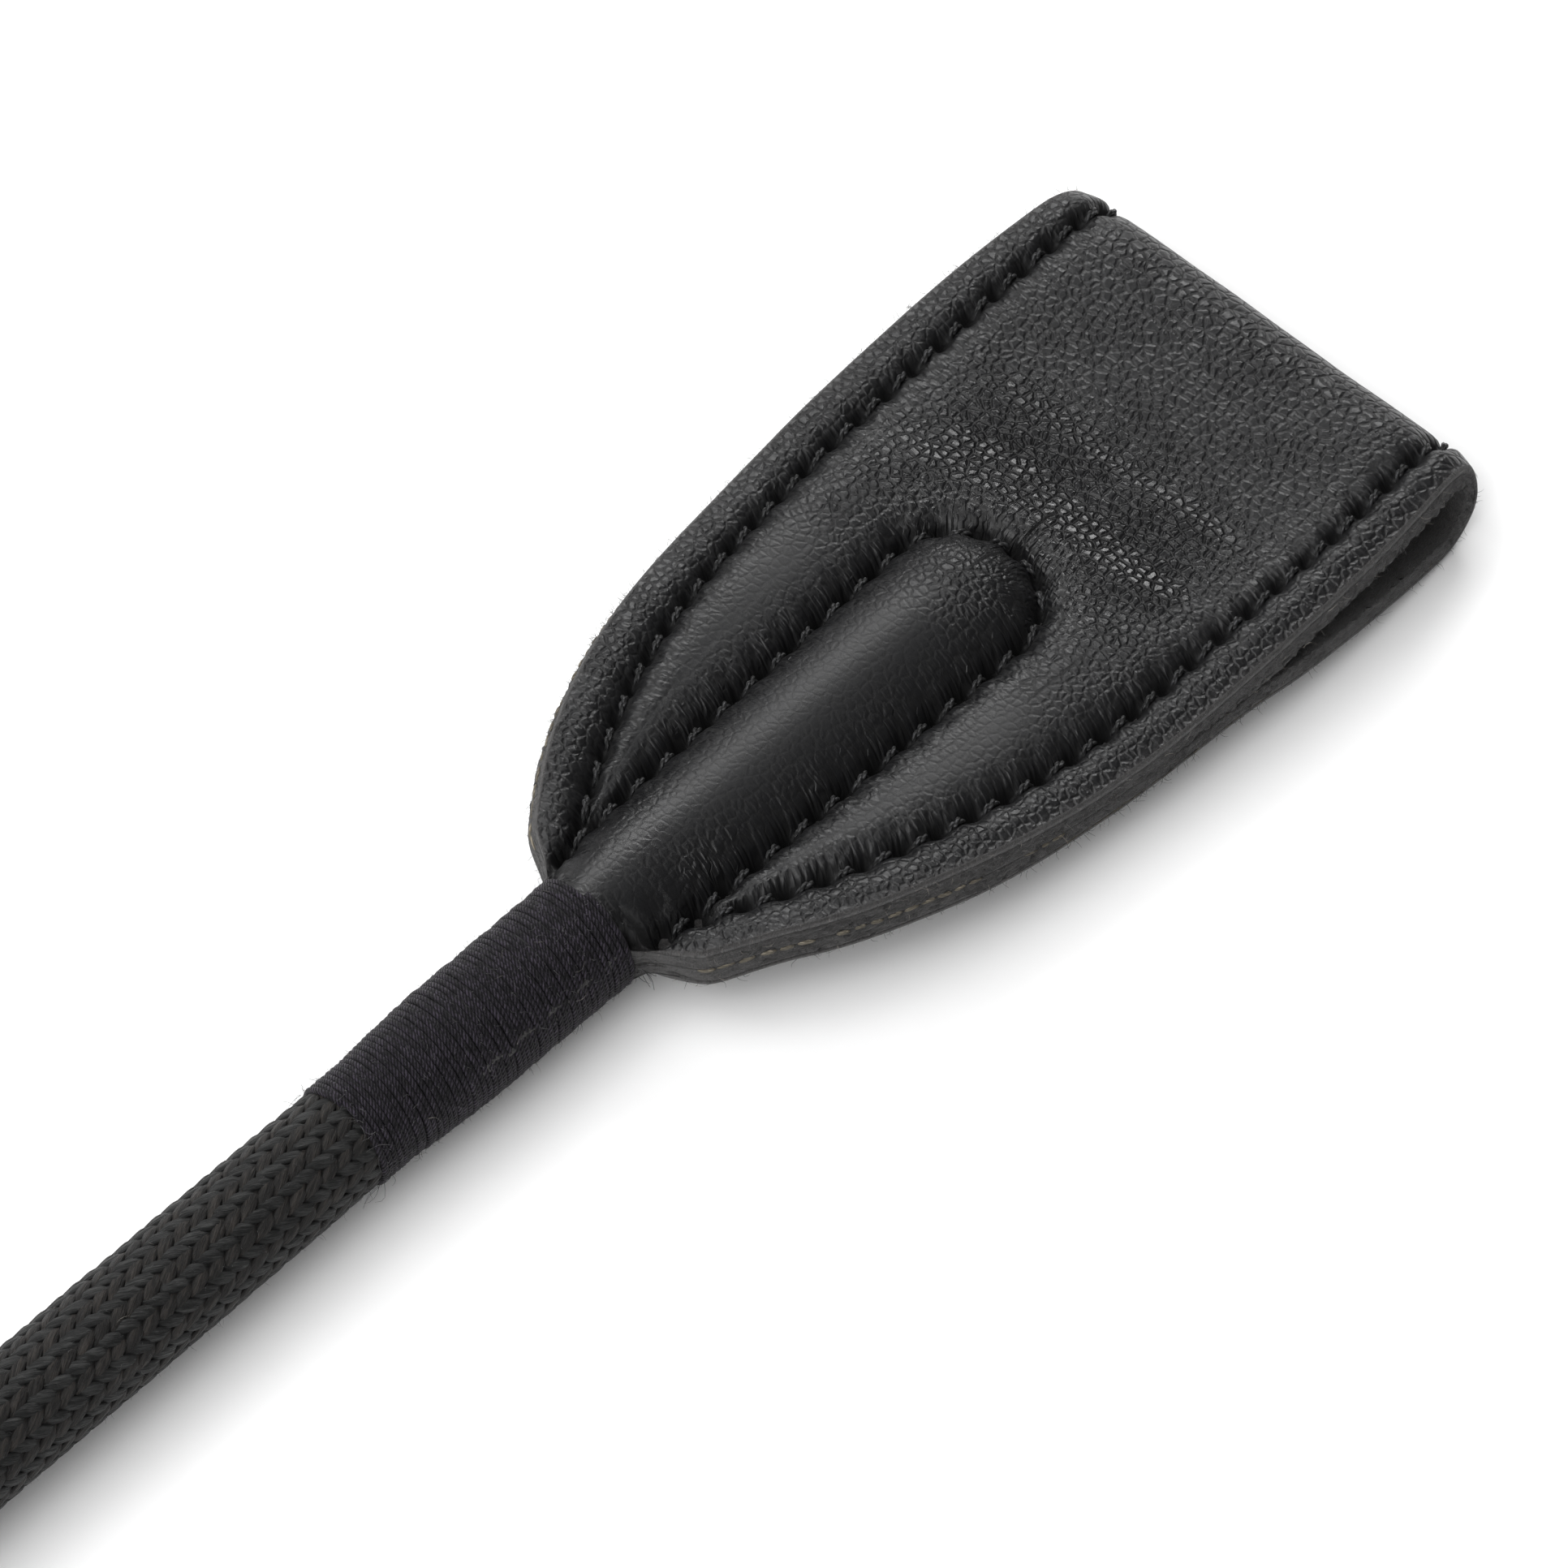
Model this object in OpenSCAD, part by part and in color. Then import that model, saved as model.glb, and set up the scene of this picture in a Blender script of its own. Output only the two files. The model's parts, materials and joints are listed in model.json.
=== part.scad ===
// Riding crop: a braided shaft with a folded leather flap, a covered grip and a wrist loop.
// Every piece is drawn along X with the folded end of the flap at x = 0 and the rod's axis
// at y = z = 0. lay_down() then rests the crop on the plane z = 0.

/* [Shaft] */
// Length from the butt to the folded end of the flap
crop_l = 640; // [600:1:680]
// Diameter of the glass-fibre rod
rod_d = 6; // [5.7:0.1:6.1]
// Diameter over the braided sleeve
braid_d = 9.2; // [9:0.1:9.6]
// Thickness of the braided sleeve
braid_t = 0.6; // [0.5:0.05:0.7]

/* [Flap] */
// Length of the flap from the whipping to the fold
flap_l = 80; // [78:1:84]
// Greatest width of the flap
flap_w = 44.8; // [42:0.2:48]
// Width of the flap at its fold
fold_w = 42; // [40:0.2:42.4]
// Width of the flap where it leaves the whipping
shoulder_w = 13.2; // [12.8:0.2:14]
// Thickness of the leather
skin_t = 1.1; // [1:0.05:1.2]
// Thickness of the felt behind the leather
felt_t = 0.95; // [0.9:0.05:1]
// Radius of the pocket over the rod, at its closed end
pocket_r = 5.3; // [5.2:0.05:5.4]
// Radius of the pocket where it leaves the whipping
pocket_neck_r = 4.9; // [4.85:0.05:5]
// Distance from the fold to the line on which the flap bends
bend_x = 27; // [26:0.5:28]

/* [Stitching] */
// Length of one stitch with its gap
stitch_pitch = 3.3; // [2.8:0.1:4]
// Width of the thread
thread_w = 0.6; // [0.5:0.05:0.7]
// Depth of the groove that the thread lies in
groove_depth = 0.45; // [0.4:0.05:0.5]

/* [Whippings] */
// Length of the whipping behind the flap
tip_whip_l = 27.5; // [26:0.5:30]
// Length of the whipping at the front of the grip
front_whip_l = 14; // [12:1:16]
// Length of the whipping at the rear of the grip
rear_whip_l = 12; // [8:1:16]
// Thickness of the wound thread
whip_t = 0.5; // [0.4:0.05:0.6]

/* [Grip] */
// Length of the grip with its butt cap
grip_l = 190; // [170:5:200]
// Diameter of the grip at its front
grip_front_d = 16; // [15:0.5:17]
// Diameter of the grip at its rear
grip_rear_d = 20; // [19:0.5:20]
// Thickness of the grip's cover
cover_t = 1.1; // [1:0.1:1.3]
// Diameter of the butt cap
cap_d = 23; // [23:0.5:25]
// Length of the butt cap
cap_l = 30; // [30:1:34]

/* [Wrist loop] */
// Length of the loop behind its pin
loop_l = 150; // [140:5:170]
// Width of the space inside the loop
loop_w = 50; // [46:1:60]
// Width of the strap
strap_w = 10; // [8:0.5:10]
// Thickness of the outer strap
strap_t = 1.1; // [1:0.05:1.2]
// Thickness of the lining strap
lining_t = 0.8; // [0.7:0.05:0.9]
// Diameter of the cross pin
pin_d = 3; // [3:0.1:3.4]
// Diameter of the rivet's heads
rivet_head_d = 5; // [4:0.5:6]

/* [Hidden] */

// Number of sides of round shapes
fine = 96;
// Number of steps along a curved edge
curve_steps = 14;
// Gap between round pieces that fit together
fit_gap = 0.03;
// Half of the gap at the bend line, where the leaves are free to move
body_gap = 0.3;
// More than any piece measures across
big = 100;

// Shaft: the whipping covers the flap's neck and the end of the braid, which is bound down
rod_r = rod_d / 2;
braid_r = braid_d / 2;
bound_drop = 0.45;
neck_l = 17;
neck_r = 4.7;
whip_front_x = -flap_l;
whip_rear_x = whip_front_x - tip_whip_l;
neck_rear_x = whip_front_x - neck_l;
braid_front_x = neck_rear_x - 0.5;
bind_x = whip_rear_x - 1;

// Rod's end
rod_front_x = -38;
rod_cap_r = rod_r + 0.4;
rod_cap_l = 12;

// Flap
leaf_t = skin_t + felt_t;
half_gap = 0.02;
bevel = 19;
side_curve = [
    [-flap_l, shoulder_w / 2], [-flap_l + 8.6, 0.607 * flap_w / 2],
    [-flap_l + 18.3, flap_w / 2], [-20, flap_w / 2]
];
end_curve = [
    [-20, flap_w / 2], [-11.7, flap_w / 2], [-4.5, fold_w / 2 + 0.8], [0, fold_w / 2]
];

// Stitching
groove_w = 0.9;
thread_h = groove_depth - 0.1;
stitch_l = 2.5;
fold_stitch_l = 1.5;
border_end_y = 17.9;
border_mid_y = 18.4;
border_x = -24;
border_curve = [
    [-flap_l + 5, 6.8], [-flap_l + 11.3, 9.6], [-flap_l + 15.4, border_mid_y],
    [border_x, border_mid_y]
];
border_slant = atan((border_mid_y - border_end_y) / -border_x);
channel_neck_y = 5.7;
channel_y = 6.8;
channel_end_l = 6.3;

// Grip
butt_x = -crop_l;
cap_front_x = butt_x + cap_l;
cap_r = cap_d / 2;
cap_edge_r = 1.5;
fork_gap = strap_w + 1;
fork_depth = 12;
shaft_rear_x = butt_x + 18;
grip_front_x = butt_x + grip_l;
grip_front_r = grip_front_d / 2;
grip_rear_r = grip_rear_d / 2;
nose_l = 12;
nose_r = 6;
seam_stitch_l = 2.6;

// Wrist loop: its eye turns on the pin, and its rivet closes the eye
pin_x = butt_x + 7;
pin_r = pin_d / 2;
pin_recess = 0.2;
eye_r = pin_r + 0.08;
band_t = strap_t + lining_t;
rivet_x = -14;
rivet_r = 1.2;
rivet_head_t = 0.7;
loop_start_x = -18;
loop_points = 80;
loop_power = 1.35;
strap_stitch_t = 0.3;
strap_edge = 1.6;
drop_l = loop_l + loop_start_x;
drop_inner_l = drop_l - band_t;
drop_widest = acos(-loop_power / (loop_power + 2));
drop_peak = sin(drop_widest) * pow(sin(drop_widest / 2), loop_power);

// The surface that the crop lies on touches the butt cap, the pocket and the fold
cap_contact_x = cap_front_x - cap_edge_r;
floor_slope = (cap_r - pocket_r) / (rod_front_x - cap_contact_x);
tilt = atan(floor_slope);
lift = cap_r * cos(tilt) + cap_contact_x * sin(tilt);
function floor_z(x) = -cap_r + floor_slope * (x - cap_contact_x);

// The fold is round: flush with the upper leaf, and down to that surface
fold_r = (leaf_t + cap_r + floor_slope * cap_contact_x) / (2 - floor_slope);
fold_at = [-fold_r, leaf_t - fold_r];
back_at = [-bend_x, -leaf_t];
back_to_fold = fold_at - back_at;
lower_slant = asin(fold_r / norm(back_to_fold)) - atan2(back_to_fold[1], back_to_fold[0]);

// The loop hangs until it would just clear that surface when it swings beside the butt
loop_hang = asin((-strap_w / 2 - floor_z(pin_x) - 0.3) / drop_l);
loop_rear_x = pin_x + loop_start_x - drop_l * cos(loop_hang) - strap_w / 2 * sin(loop_hang);
middle_x = (loop_rear_x * cos(tilt) + fold_at[0] * cos(tilt) + fold_at[1] * sin(tilt)
    + fold_r) / 2;

// Curves

function bezier(p, t) =
    pow(1 - t, 3) * p[0] + 3 * pow(1 - t, 2) * t * p[1]
    + 3 * (1 - t) * t * t * p[2] + t * t * t * p[3];
function reversed(path) = [for (i = [len(path) - 1:-1:0]) path[i]];
function flipped(path) = [for (p = path) [p[0], -p[1]]];

// Unit vector square to a path at its point i, to the left of its heading
function normal(path, i) =
    let (d = path[min(i + 1, len(path) - 1)] - path[max(i - 1, 0)])
    [-d[1], d[0]] / norm(d);
function shifted(path, off) = [for (i = [0:len(path) - 1]) path[i] + off * normal(path, i)];

// Length of a path, and the point and heading a given length along it
function path_length(path, i = 1) =
    i == len(path) ? 0 : norm(path[i] - path[i - 1]) + path_length(path, i + 1);
function along(path, s, i = 1) =
    let (step = path[i] - path[i - 1], l = norm(step))
    s <= l || i == len(path) - 1
        ? [path[i - 1] + step * s / l, atan2(step[1], step[0])]
        : along(path, s - l, i + 1);

// Left side of the flap, from the whipping to the fold
side_points = concat(
    [for (i = [0:curve_steps]) bezier(side_curve, i / curve_steps)],
    [for (i = [1:5]) bezier(end_curve, i / 5)]
);

// Rows of stitches: the border on one side, and the U round the pocket
border_path = concat(
    [for (i = [0:curve_steps]) bezier(border_curve, i / curve_steps)],
    [[0, border_end_y]]
);
channel_path = concat(
    [[-flap_l, channel_neck_y], [rod_front_x, channel_y]],
    [for (a = [78:-12:-78]) [rod_front_x + channel_end_l * cos(a), channel_y * sin(a)]],
    [[rod_front_x, -channel_y], [-flap_l, -channel_neck_y]]
);

// Inner face of the wrist loop, a drop whose two sides meet at x = 0
drop_curve = [for (a = [0:5:360]) [
    -drop_inner_l * (1 - cos(a)) / 2,
    -loop_w / 2 / drop_peak * sin(a) * pow(sin(a / 2), loop_power)
]];
drop_path = [for (i = [0:loop_points])
    along(drop_curve, path_length(drop_curve) * i / loop_points)[0]];

// Shared shapes

module lay_down() {
    translate([-middle_x, 0, lift]) rotate([0, tilt, 0]) children();
}

// A solid of revolution about the rod's axis, from [x, radius] points
module turned(points) {
    rotate([0, 90, 0]) rotate_extrude($fn = fine) polygon([for (p = points) [p[1], p[0]]]);
}

module rod_along(r, x0, x1) {
    translate([x0, 0, 0]) rotate([0, 90, 0]) cylinder(r = r, h = x1 - x0, $fn = fine);
}

module both_sides() {
    children();
    mirror([0, 1, 0]) children();
}

module both_leaves() {
    children();
    mirror([0, 0, 1]) children();
}

// One stitch, lying along X on the face z = 0
module stitch(l) {
    translate([-l / 2, -thread_w / 2, 0]) cube([l, thread_w, thread_h]);
}

// Flap

module flap_plate(z0, z1) {
    translate([0, 0, z0]) linear_extrude(z1 - z0)
        polygon(concat(side_points, reversed(flipped(side_points))));
}

// The half-round pocket and its neck, made smaller by inset
module pocket(inset) {
    rod_along(neck_r - inset, neck_rear_x, whip_front_x);
    translate([whip_front_x, 0, 0]) rotate([0, 90, 0])
        cylinder(r1 = pocket_neck_r - inset, r2 = pocket_r - inset,
            h = rod_front_x - whip_front_x, $fn = fine);
    translate([rod_front_x, 0, 0]) sphere(r = pocket_r - inset, $fn = fine);
}

module rod_space() {
    rod_along(rod_r + fit_gap, neck_rear_x - 1, rod_front_x);
    rod_along(rod_cap_r + fit_gap, rod_front_x - rod_cap_l - fit_gap, rod_front_x);
    translate([rod_front_x, 0, 0]) sphere(r = rod_cap_r + fit_gap, $fn = fine);
}

// The part of space above the seam and behind the bend line
module upper_rear() {
    translate([neck_rear_x - 1, -big / 2, half_gap])
        cube([-bend_x - neck_rear_x + 1, big, big]);
}

// The V-shaped gaps at the bend line, above and below
module bend_gap() {
    reach = 10;
    spread = body_gap + reach * tan(bevel);
    translate([-bend_x, big / 2, 0]) rotate([90, 0, 0]) linear_extrude(big)
        polygon([
            [-body_gap, 0], [-spread, reach], [spread, reach],
            [body_gap, 0], [spread, -reach], [-spread, -reach]
        ]);
}

// A strip along a row of stitches, from the bottom of its groove up
module row_groove(path) {
    translate([0, 0, leaf_t - groove_depth]) linear_extrude(2)
        polygon(concat(shifted(path, groove_w / 2), reversed(shifted(path, -groove_w / 2))));
}

module leaf_skin() {
    difference() {
        intersection() {
            union() {
                flap_plate(felt_t, leaf_t);
                pocket(0);
            }
            upper_rear();
        }
        pocket(skin_t);
        flap_plate(-felt_t, felt_t);
        both_sides() row_groove(border_path);
        row_groove(channel_path);
        bend_gap();
    }
}

module leaf_felt() {
    difference() {
        intersection() {
            union() {
                flap_plate(0, felt_t);
                pocket(skin_t);
            }
            upper_rear();
        }
        rod_space();
        bend_gap();
    }
}

// A row of stitches on the face of a leaf, between two lengths along its path
module stitch_row(path, s0, s1) {
    count = floor((s1 - s0) / stitch_pitch);
    for (i = [0:count - 1]) {
        at = along(path, s0 + (i + 0.5) * stitch_pitch);
        translate([at[0][0], at[0][1], leaf_t - groove_depth]) rotate([0, 0, at[1]])
            stitch(stitch_l);
    }
}

// The folded end seen from the side, made smaller by inset: a round fold between two
// leaves that close on each other at the bend line
module fold_outline(inset) {
    r = fold_r - inset;
    touch = fold_at - r * [sin(lower_slant), cos(lower_slant)];
    top = fold_at[1] + r;
    translate(fold_at) circle(r = r, $fn = fine);
    polygon([
        [fold_at[0], top], [touch[0] - (top - touch[1]) / tan(lower_slant), top],
        touch, fold_at
    ]);
}

module fold_solid(inset, w) {
    translate([0, w / 2, 0]) rotate([90, 0, 0]) linear_extrude(w) fold_outline(inset);
}

module tip_layer(outer_inset, inner_inset) {
    difference() {
        intersection() {
            fold_solid(outer_inset, big);
            flap_plate(-big / 2, big / 2);
            translate([-bend_x, -big / 2, -big / 2]) cube(big);
        }
        fold_solid(inner_inset, big + 1);
        bend_gap();
    }
}

// Side view of the row of stitches over the fold, just clear of the bottom of its groove
function fold_path() =
    let (r = fold_r - groove_depth + 0.04, top = fold_at[1] + r)
    let (touch = fold_at - r * [sin(lower_slant), cos(lower_slant)])
    concat(
        [[-bend_x + 1.5, top]],
        [for (a = [90:-6:-90]) fold_at + r * [cos(a), sin(a)]],
        [touch, touch + (bend_x - fold_r - 2) * [-cos(lower_slant), sin(lower_slant)]]
    );

// Shaft

module core_rod() {
    color("#c9cdb8") rod_along(rod_r, shaft_rear_x, rod_front_x);
}

module filler_layer() {
    color("#b8b2a4") turned([
        [shaft_rear_x, rod_r + fit_gap], [shaft_rear_x, braid_r - braid_t - fit_gap],
        [bind_x - 1, braid_r - braid_t - fit_gap],
        [bind_x, braid_r - braid_t - bound_drop - fit_gap],
        [braid_front_x, braid_r - braid_t - bound_drop - fit_gap],
        [braid_front_x, rod_r + fit_gap]
    ]);
}

module braided_sleeve() {
    color("#1d1a18") turned([
        [shaft_rear_x, braid_r - braid_t], [shaft_rear_x, braid_r],
        [bind_x, braid_r], [bind_x + 0.9, braid_r - bound_drop],
        [braid_front_x, braid_r - bound_drop],
        [braid_front_x, braid_r - braid_t - bound_drop],
        [bind_x, braid_r - braid_t - bound_drop], [bind_x - 1, braid_r - braid_t]
    ]);
}

module rod_end_cap() {
    color("#2b2b2d") difference() {
        union() {
            rod_along(rod_cap_r, rod_front_x - rod_cap_l, rod_front_x);
            translate([rod_front_x, 0, 0]) sphere(r = rod_cap_r, $fn = fine);
        }
        rod_along(rod_r, rod_front_x - rod_cap_l - 1, rod_front_x);
    }
}

module tip_whipping() {
    color("#1b1a22") turned([
        [whip_rear_x, braid_r - bound_drop + fit_gap], [whip_rear_x, 4.75],
        [whip_front_x - fit_gap, 5.25], [whip_front_x - fit_gap, neck_r + fit_gap],
        [neck_rear_x - 0.2, neck_r + fit_gap],
        [neck_rear_x - 0.2, braid_r - bound_drop + fit_gap]
    ]);
}

// Flap nodes

module flap_top_skin() {
    color("#26272a") leaf_skin();
}

module flap_bottom_skin() {
    color("#26272a") mirror([0, 0, 1]) leaf_skin();
}

module flap_top_felt() {
    color("#3a3735") leaf_felt();
}

module flap_bottom_felt() {
    color("#3a3735") mirror([0, 0, 1]) leaf_felt();
}

module flap_channel_stitching() {
    color("#0c0c0e") both_leaves()
        stitch_row(channel_path, 1, path_length(channel_path) - 1);
}

module flap_border_stitching() {
    row_l = path_length(border_path) - bend_x - 1.5;
    color("#0c0c0e") both_leaves() both_sides() stitch_row(border_path, 0, row_l);
}

module flap_tip_skin() {
    color("#26272a") difference() {
        tip_layer(0, skin_t);
        both_sides() translate([0, border_end_y, 0]) rotate([0, 0, -border_slant])
            difference() {
                translate([-big, -groove_w / 2, -big / 2]) cube([big + 2, groove_w, big]);
                fold_solid(groove_depth, 2 * groove_w);
            }
    }
}

module flap_tip_felt() {
    color("#3a3735") tip_layer(skin_t, leaf_t);
}

module flap_tip_stitching() {
    path = fold_path();
    count = floor(path_length(path) / stitch_pitch);
    color("#0c0c0e") both_sides() for (i = [0:count - 1]) {
        at = along(path, (i + 0.5) * stitch_pitch);
        on_fold = at[0][0] > fold_at[0] - 1;
        translate([at[0][0], border_end_y - at[0][0] * tan(border_slant), at[0][1]])
            rotate([0, -at[1], 0]) stitch(on_fold ? fold_stitch_l : stitch_l);
    }
}

// Grip

module grip_core() {
    color("#8f7a5a") turned([
        [shaft_rear_x, braid_r + fit_gap], [shaft_rear_x, grip_rear_r - cover_t],
        [grip_front_x - nose_l, grip_front_r - cover_t],
        [grip_front_x - fit_gap, nose_r - cover_t], [grip_front_x - fit_gap, braid_r + fit_gap]
    ]);
}

module grip_cover() {
    color("#232427") turned([
        [shaft_rear_x, grip_rear_r - cover_t + fit_gap], [shaft_rear_x, grip_rear_r],
        [grip_front_x - nose_l, grip_front_r], [grip_front_x, nose_r],
        [grip_front_x, nose_r - cover_t + fit_gap],
        [grip_front_x - nose_l, grip_front_r - cover_t + fit_gap]
    ]);
}

module grip_seam_stitching() {
    x0 = cap_front_x + rear_whip_l + 3;
    x1 = grip_front_x - nose_l - 1;
    full_l = x1 - shaft_rear_x + 1;
    slope = atan((grip_rear_r - grip_front_r) / full_l);
    count = floor((x1 - x0) / stitch_pitch);
    color("#0c0c0e") for (i = [0:count - 1]) {
        x = x0 + (i + 0.5) * stitch_pitch;
        r = grip_rear_r - (x - shaft_rear_x) * tan(slope);
        translate([x, 0, -r - fit_gap]) rotate([180, -slope, 0]) stitch(seam_stitch_l);
    }
}

module grip_front_whipping() {
    cover_slope = (grip_front_r - nose_r) / nose_l;
    x0 = grip_front_x - front_whip_l / 2;
    r0 = nose_r + cover_slope * front_whip_l / 2;
    color("#1b1a22") turned([
        [x0, r0 + fit_gap], [x0, r0 + whip_t], [grip_front_x, nose_r + whip_t],
        [grip_front_x + front_whip_l / 2, braid_r + whip_t],
        [grip_front_x + front_whip_l / 2, braid_r + fit_gap],
        [grip_front_x + fit_gap, braid_r + fit_gap], [grip_front_x + fit_gap, nose_r + fit_gap]
    ]);
}

module grip_rear_whipping() {
    color("#1b1a22") rod_ring(grip_rear_r + fit_gap, grip_rear_r + whip_t,
        cap_front_x + 0.1, cap_front_x + rear_whip_l);
}

module rod_ring(r_in, r_out, x0, x1) {
    difference() {
        rod_along(r_out, x0, x1);
        rod_along(r_in, x0 - 1, x1 + 1);
    }
}

module butt_cap() {
    color("#151517") difference() {
        turned([
            [butt_x, 0], [butt_x, cap_r - cap_edge_r],
            for (a = [15:15:90]) [
                butt_x + cap_edge_r * (1 - cos(a)), cap_r - cap_edge_r * (1 - sin(a))
            ],
            for (a = [90:-15:0]) [
                cap_front_x - cap_edge_r * (1 - cos(a)), cap_r - cap_edge_r * (1 - sin(a))
            ],
            [cap_front_x, grip_rear_r + fit_gap], [shaft_rear_x - fit_gap, grip_rear_r + fit_gap],
            [shaft_rear_x - fit_gap, 0]
        ]);
        translate([butt_x - 1, -big / 2, -fork_gap / 2])
            cube([fork_depth + 1, big, fork_gap]);
        translate([pin_x, 0, -big / 2]) cylinder(r = pin_r + fit_gap, h = big, $fn = fine);
    }
}

module strap_pin() {
    color("#b9bbbd") translate([pin_x, 0, pin_recess - cap_r])
        cylinder(r = pin_r, h = 2 * (cap_r - pin_recess), $fn = fine);
}

// Wrist loop

// The eye, the neck behind it and the hanging loop, h high and filled in out to a face
// that lies off away from the loop's inner face
module filled_loop(off, h) {
    linear_extrude(h, center = true) {
        circle(r = eye_r + off, $fn = fine);
        if (off > 0)
            translate([loop_start_x - 0.6, -off]) square([-loop_start_x + 0.6, 2 * off]);
    }
    translate([loop_start_x, 0, 0]) rotate([0, -loop_hang, 0])
        linear_extrude(h, center = true) polygon(shifted(drop_path, off));
}

module strap_layer(inner_off, outer_off) {
    translate([pin_x, 0, 0]) difference() {
        filled_loop(outer_off, strap_w);
        filled_loop(inner_off, strap_w + 2);
        translate([rivet_x, big / 2, 0]) rotate([90, 0, 0])
            cylinder(r = rivet_r + fit_gap, h = big, $fn = fine);
    }
}

module wrist_strap() {
    color("#26272a") strap_layer(lining_t, band_t);
}

module wrist_strap_lining() {
    color("#33302e") strap_layer(0, lining_t);
}

module wrist_strap_stitching() {
    face = shifted(drop_path, band_t);
    color("#0c0c0e") translate([pin_x + loop_start_x, 0, 0]) rotate([0, -loop_hang, 0])
        for (i = [2:loop_points - 3], side = [-1, 1]) {
            step = face[i + 1] - face[i];
            at = (face[i] + face[i + 1]) / 2;
            translate([at[0], at[1], side * (strap_w / 2 - strap_edge)])
                rotate([0, 0, atan2(step[1], step[0])])
                    translate([-stitch_l / 2, 0, -thread_w / 2])
                        cube([stitch_l, strap_stitch_t, thread_w]);
        }
}

module wrist_strap_rivet() {
    color("#b08d4a") translate([pin_x + rivet_x, 0, 0]) rotate([90, 0, 0]) {
        cylinder(r = rivet_r, h = 2 * (band_t + rivet_head_t), center = true, $fn = fine);
        for (side = [-1, 1])
            translate([0, 0, side * (band_t + rivet_head_t / 2)])
                cylinder(d = rivet_head_d, h = rivet_head_t, center = true, $fn = fine);
    }
}

lay_down() core_rod();
lay_down() filler_layer();
lay_down() braided_sleeve();
lay_down() rod_end_cap();
lay_down() tip_whipping();
lay_down() flap_top_skin();
lay_down() flap_top_felt();
lay_down() flap_bottom_skin();
lay_down() flap_bottom_felt();
lay_down() flap_channel_stitching();
lay_down() flap_border_stitching();
lay_down() flap_tip_skin();
lay_down() flap_tip_felt();
lay_down() flap_tip_stitching();
lay_down() grip_core();
lay_down() grip_cover();
lay_down() grip_seam_stitching();
lay_down() grip_front_whipping();
lay_down() grip_rear_whipping();
lay_down() butt_cap();
lay_down() strap_pin();
lay_down() wrist_strap();
lay_down() wrist_strap_lining();
lay_down() wrist_strap_stitching();
lay_down() wrist_strap_rivet();
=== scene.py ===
import json
import math

import bpy
import numpy as np
from mathutils import Matrix, Vector


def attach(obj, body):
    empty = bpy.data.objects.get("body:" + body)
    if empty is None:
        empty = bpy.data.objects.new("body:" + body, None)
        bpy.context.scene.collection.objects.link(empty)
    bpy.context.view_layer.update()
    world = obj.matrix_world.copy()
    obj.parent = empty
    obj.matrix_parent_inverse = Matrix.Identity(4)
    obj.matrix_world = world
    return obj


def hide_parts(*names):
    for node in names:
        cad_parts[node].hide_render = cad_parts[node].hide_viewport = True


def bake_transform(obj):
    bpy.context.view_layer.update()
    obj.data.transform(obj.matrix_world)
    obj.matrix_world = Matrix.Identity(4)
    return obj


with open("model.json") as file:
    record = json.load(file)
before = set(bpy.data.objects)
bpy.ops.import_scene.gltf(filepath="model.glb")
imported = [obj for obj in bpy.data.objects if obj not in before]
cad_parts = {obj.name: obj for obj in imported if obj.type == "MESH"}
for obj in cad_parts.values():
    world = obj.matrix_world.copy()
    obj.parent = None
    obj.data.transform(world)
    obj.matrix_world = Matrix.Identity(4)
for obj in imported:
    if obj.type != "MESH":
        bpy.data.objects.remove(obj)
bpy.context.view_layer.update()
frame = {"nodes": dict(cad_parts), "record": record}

# Riding crop. Every piece is drawn in millimetres in the crop's own frame: x = 0 at the
# folded end of the flap, -x towards the butt, and the rod's axis at y = z = 0. to_row()
# carries those points into the row frame, in metres.

# ---------------------------------------------------------------- the crop's frame

CROP_L = 640.0
BUTT_FACE_Z = 8.0
BUTT = next(m for m in frame["record"]["mounts"] if m["name"] == "butt_face")
X_AXIS = -np.array(BUTT["axis"], float)
X_AXIS /= np.linalg.norm(X_AXIS)
Y_AXIS = np.array((0.0, 1.0, 0.0))
Z_AXIS = np.cross(X_AXIS, Y_AXIS)
AXES = np.stack([X_AXIS, Y_AXIS, Z_AXIS])
ORIGIN = np.array(BUTT["pos_m"], float) + (CROP_L * X_AXIS - BUTT_FACE_Z * Z_AXIS) / 1000


def to_row(points):
    """Points of the crop frame, in mm, as points of the row frame, in metres."""
    return ORIGIN + np.asarray(points, float) @ AXES / 1000


def vec(*parts):
    """Vectors made of their parts, each one a number or an array."""
    return np.stack(np.broadcast_arrays(*parts), -1)


def join(*lots):
    """Arrays set end to end."""
    return np.concatenate(lots)


def lengths(line):
    """Length along a line of points up to each of them."""
    return join([0], np.cumsum(np.linalg.norm(np.diff(line, axis=0), axis=1)))


def at_lengths(at, run, line):
    """Points at the lengths at along a line whose points lie at the lengths run."""
    return vec(*[np.interp(at, run, part) for part in line.T])


def unit(v):
    """The same vectors, 1 long."""
    return v / np.maximum(np.linalg.norm(v, axis=-1, keepdims=True), 1e-12)


def step(x, low, high):
    """Smooth step from 0 at low to 1 at high."""
    t = np.clip((x - low) / (high - low), 0, 1)
    return t * t * (3 - 2 * t)


def bell(d, width):
    """A bell curve, 1 at d = 0."""
    return np.exp(-((d / width) ** 2))


def bezier(p, count):
    """Points along the curve of four control points."""
    p = np.asarray(p, float)
    t = np.linspace(0, 1, count)[:, None]
    return ((1 - t) ** 3 * p[0] + 3 * (1 - t) ** 2 * t * p[1]
            + 3 * (1 - t) * t * t * p[2] + t ** 3 * p[3])


# ---------------------------------------------------------------- meshes

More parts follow.
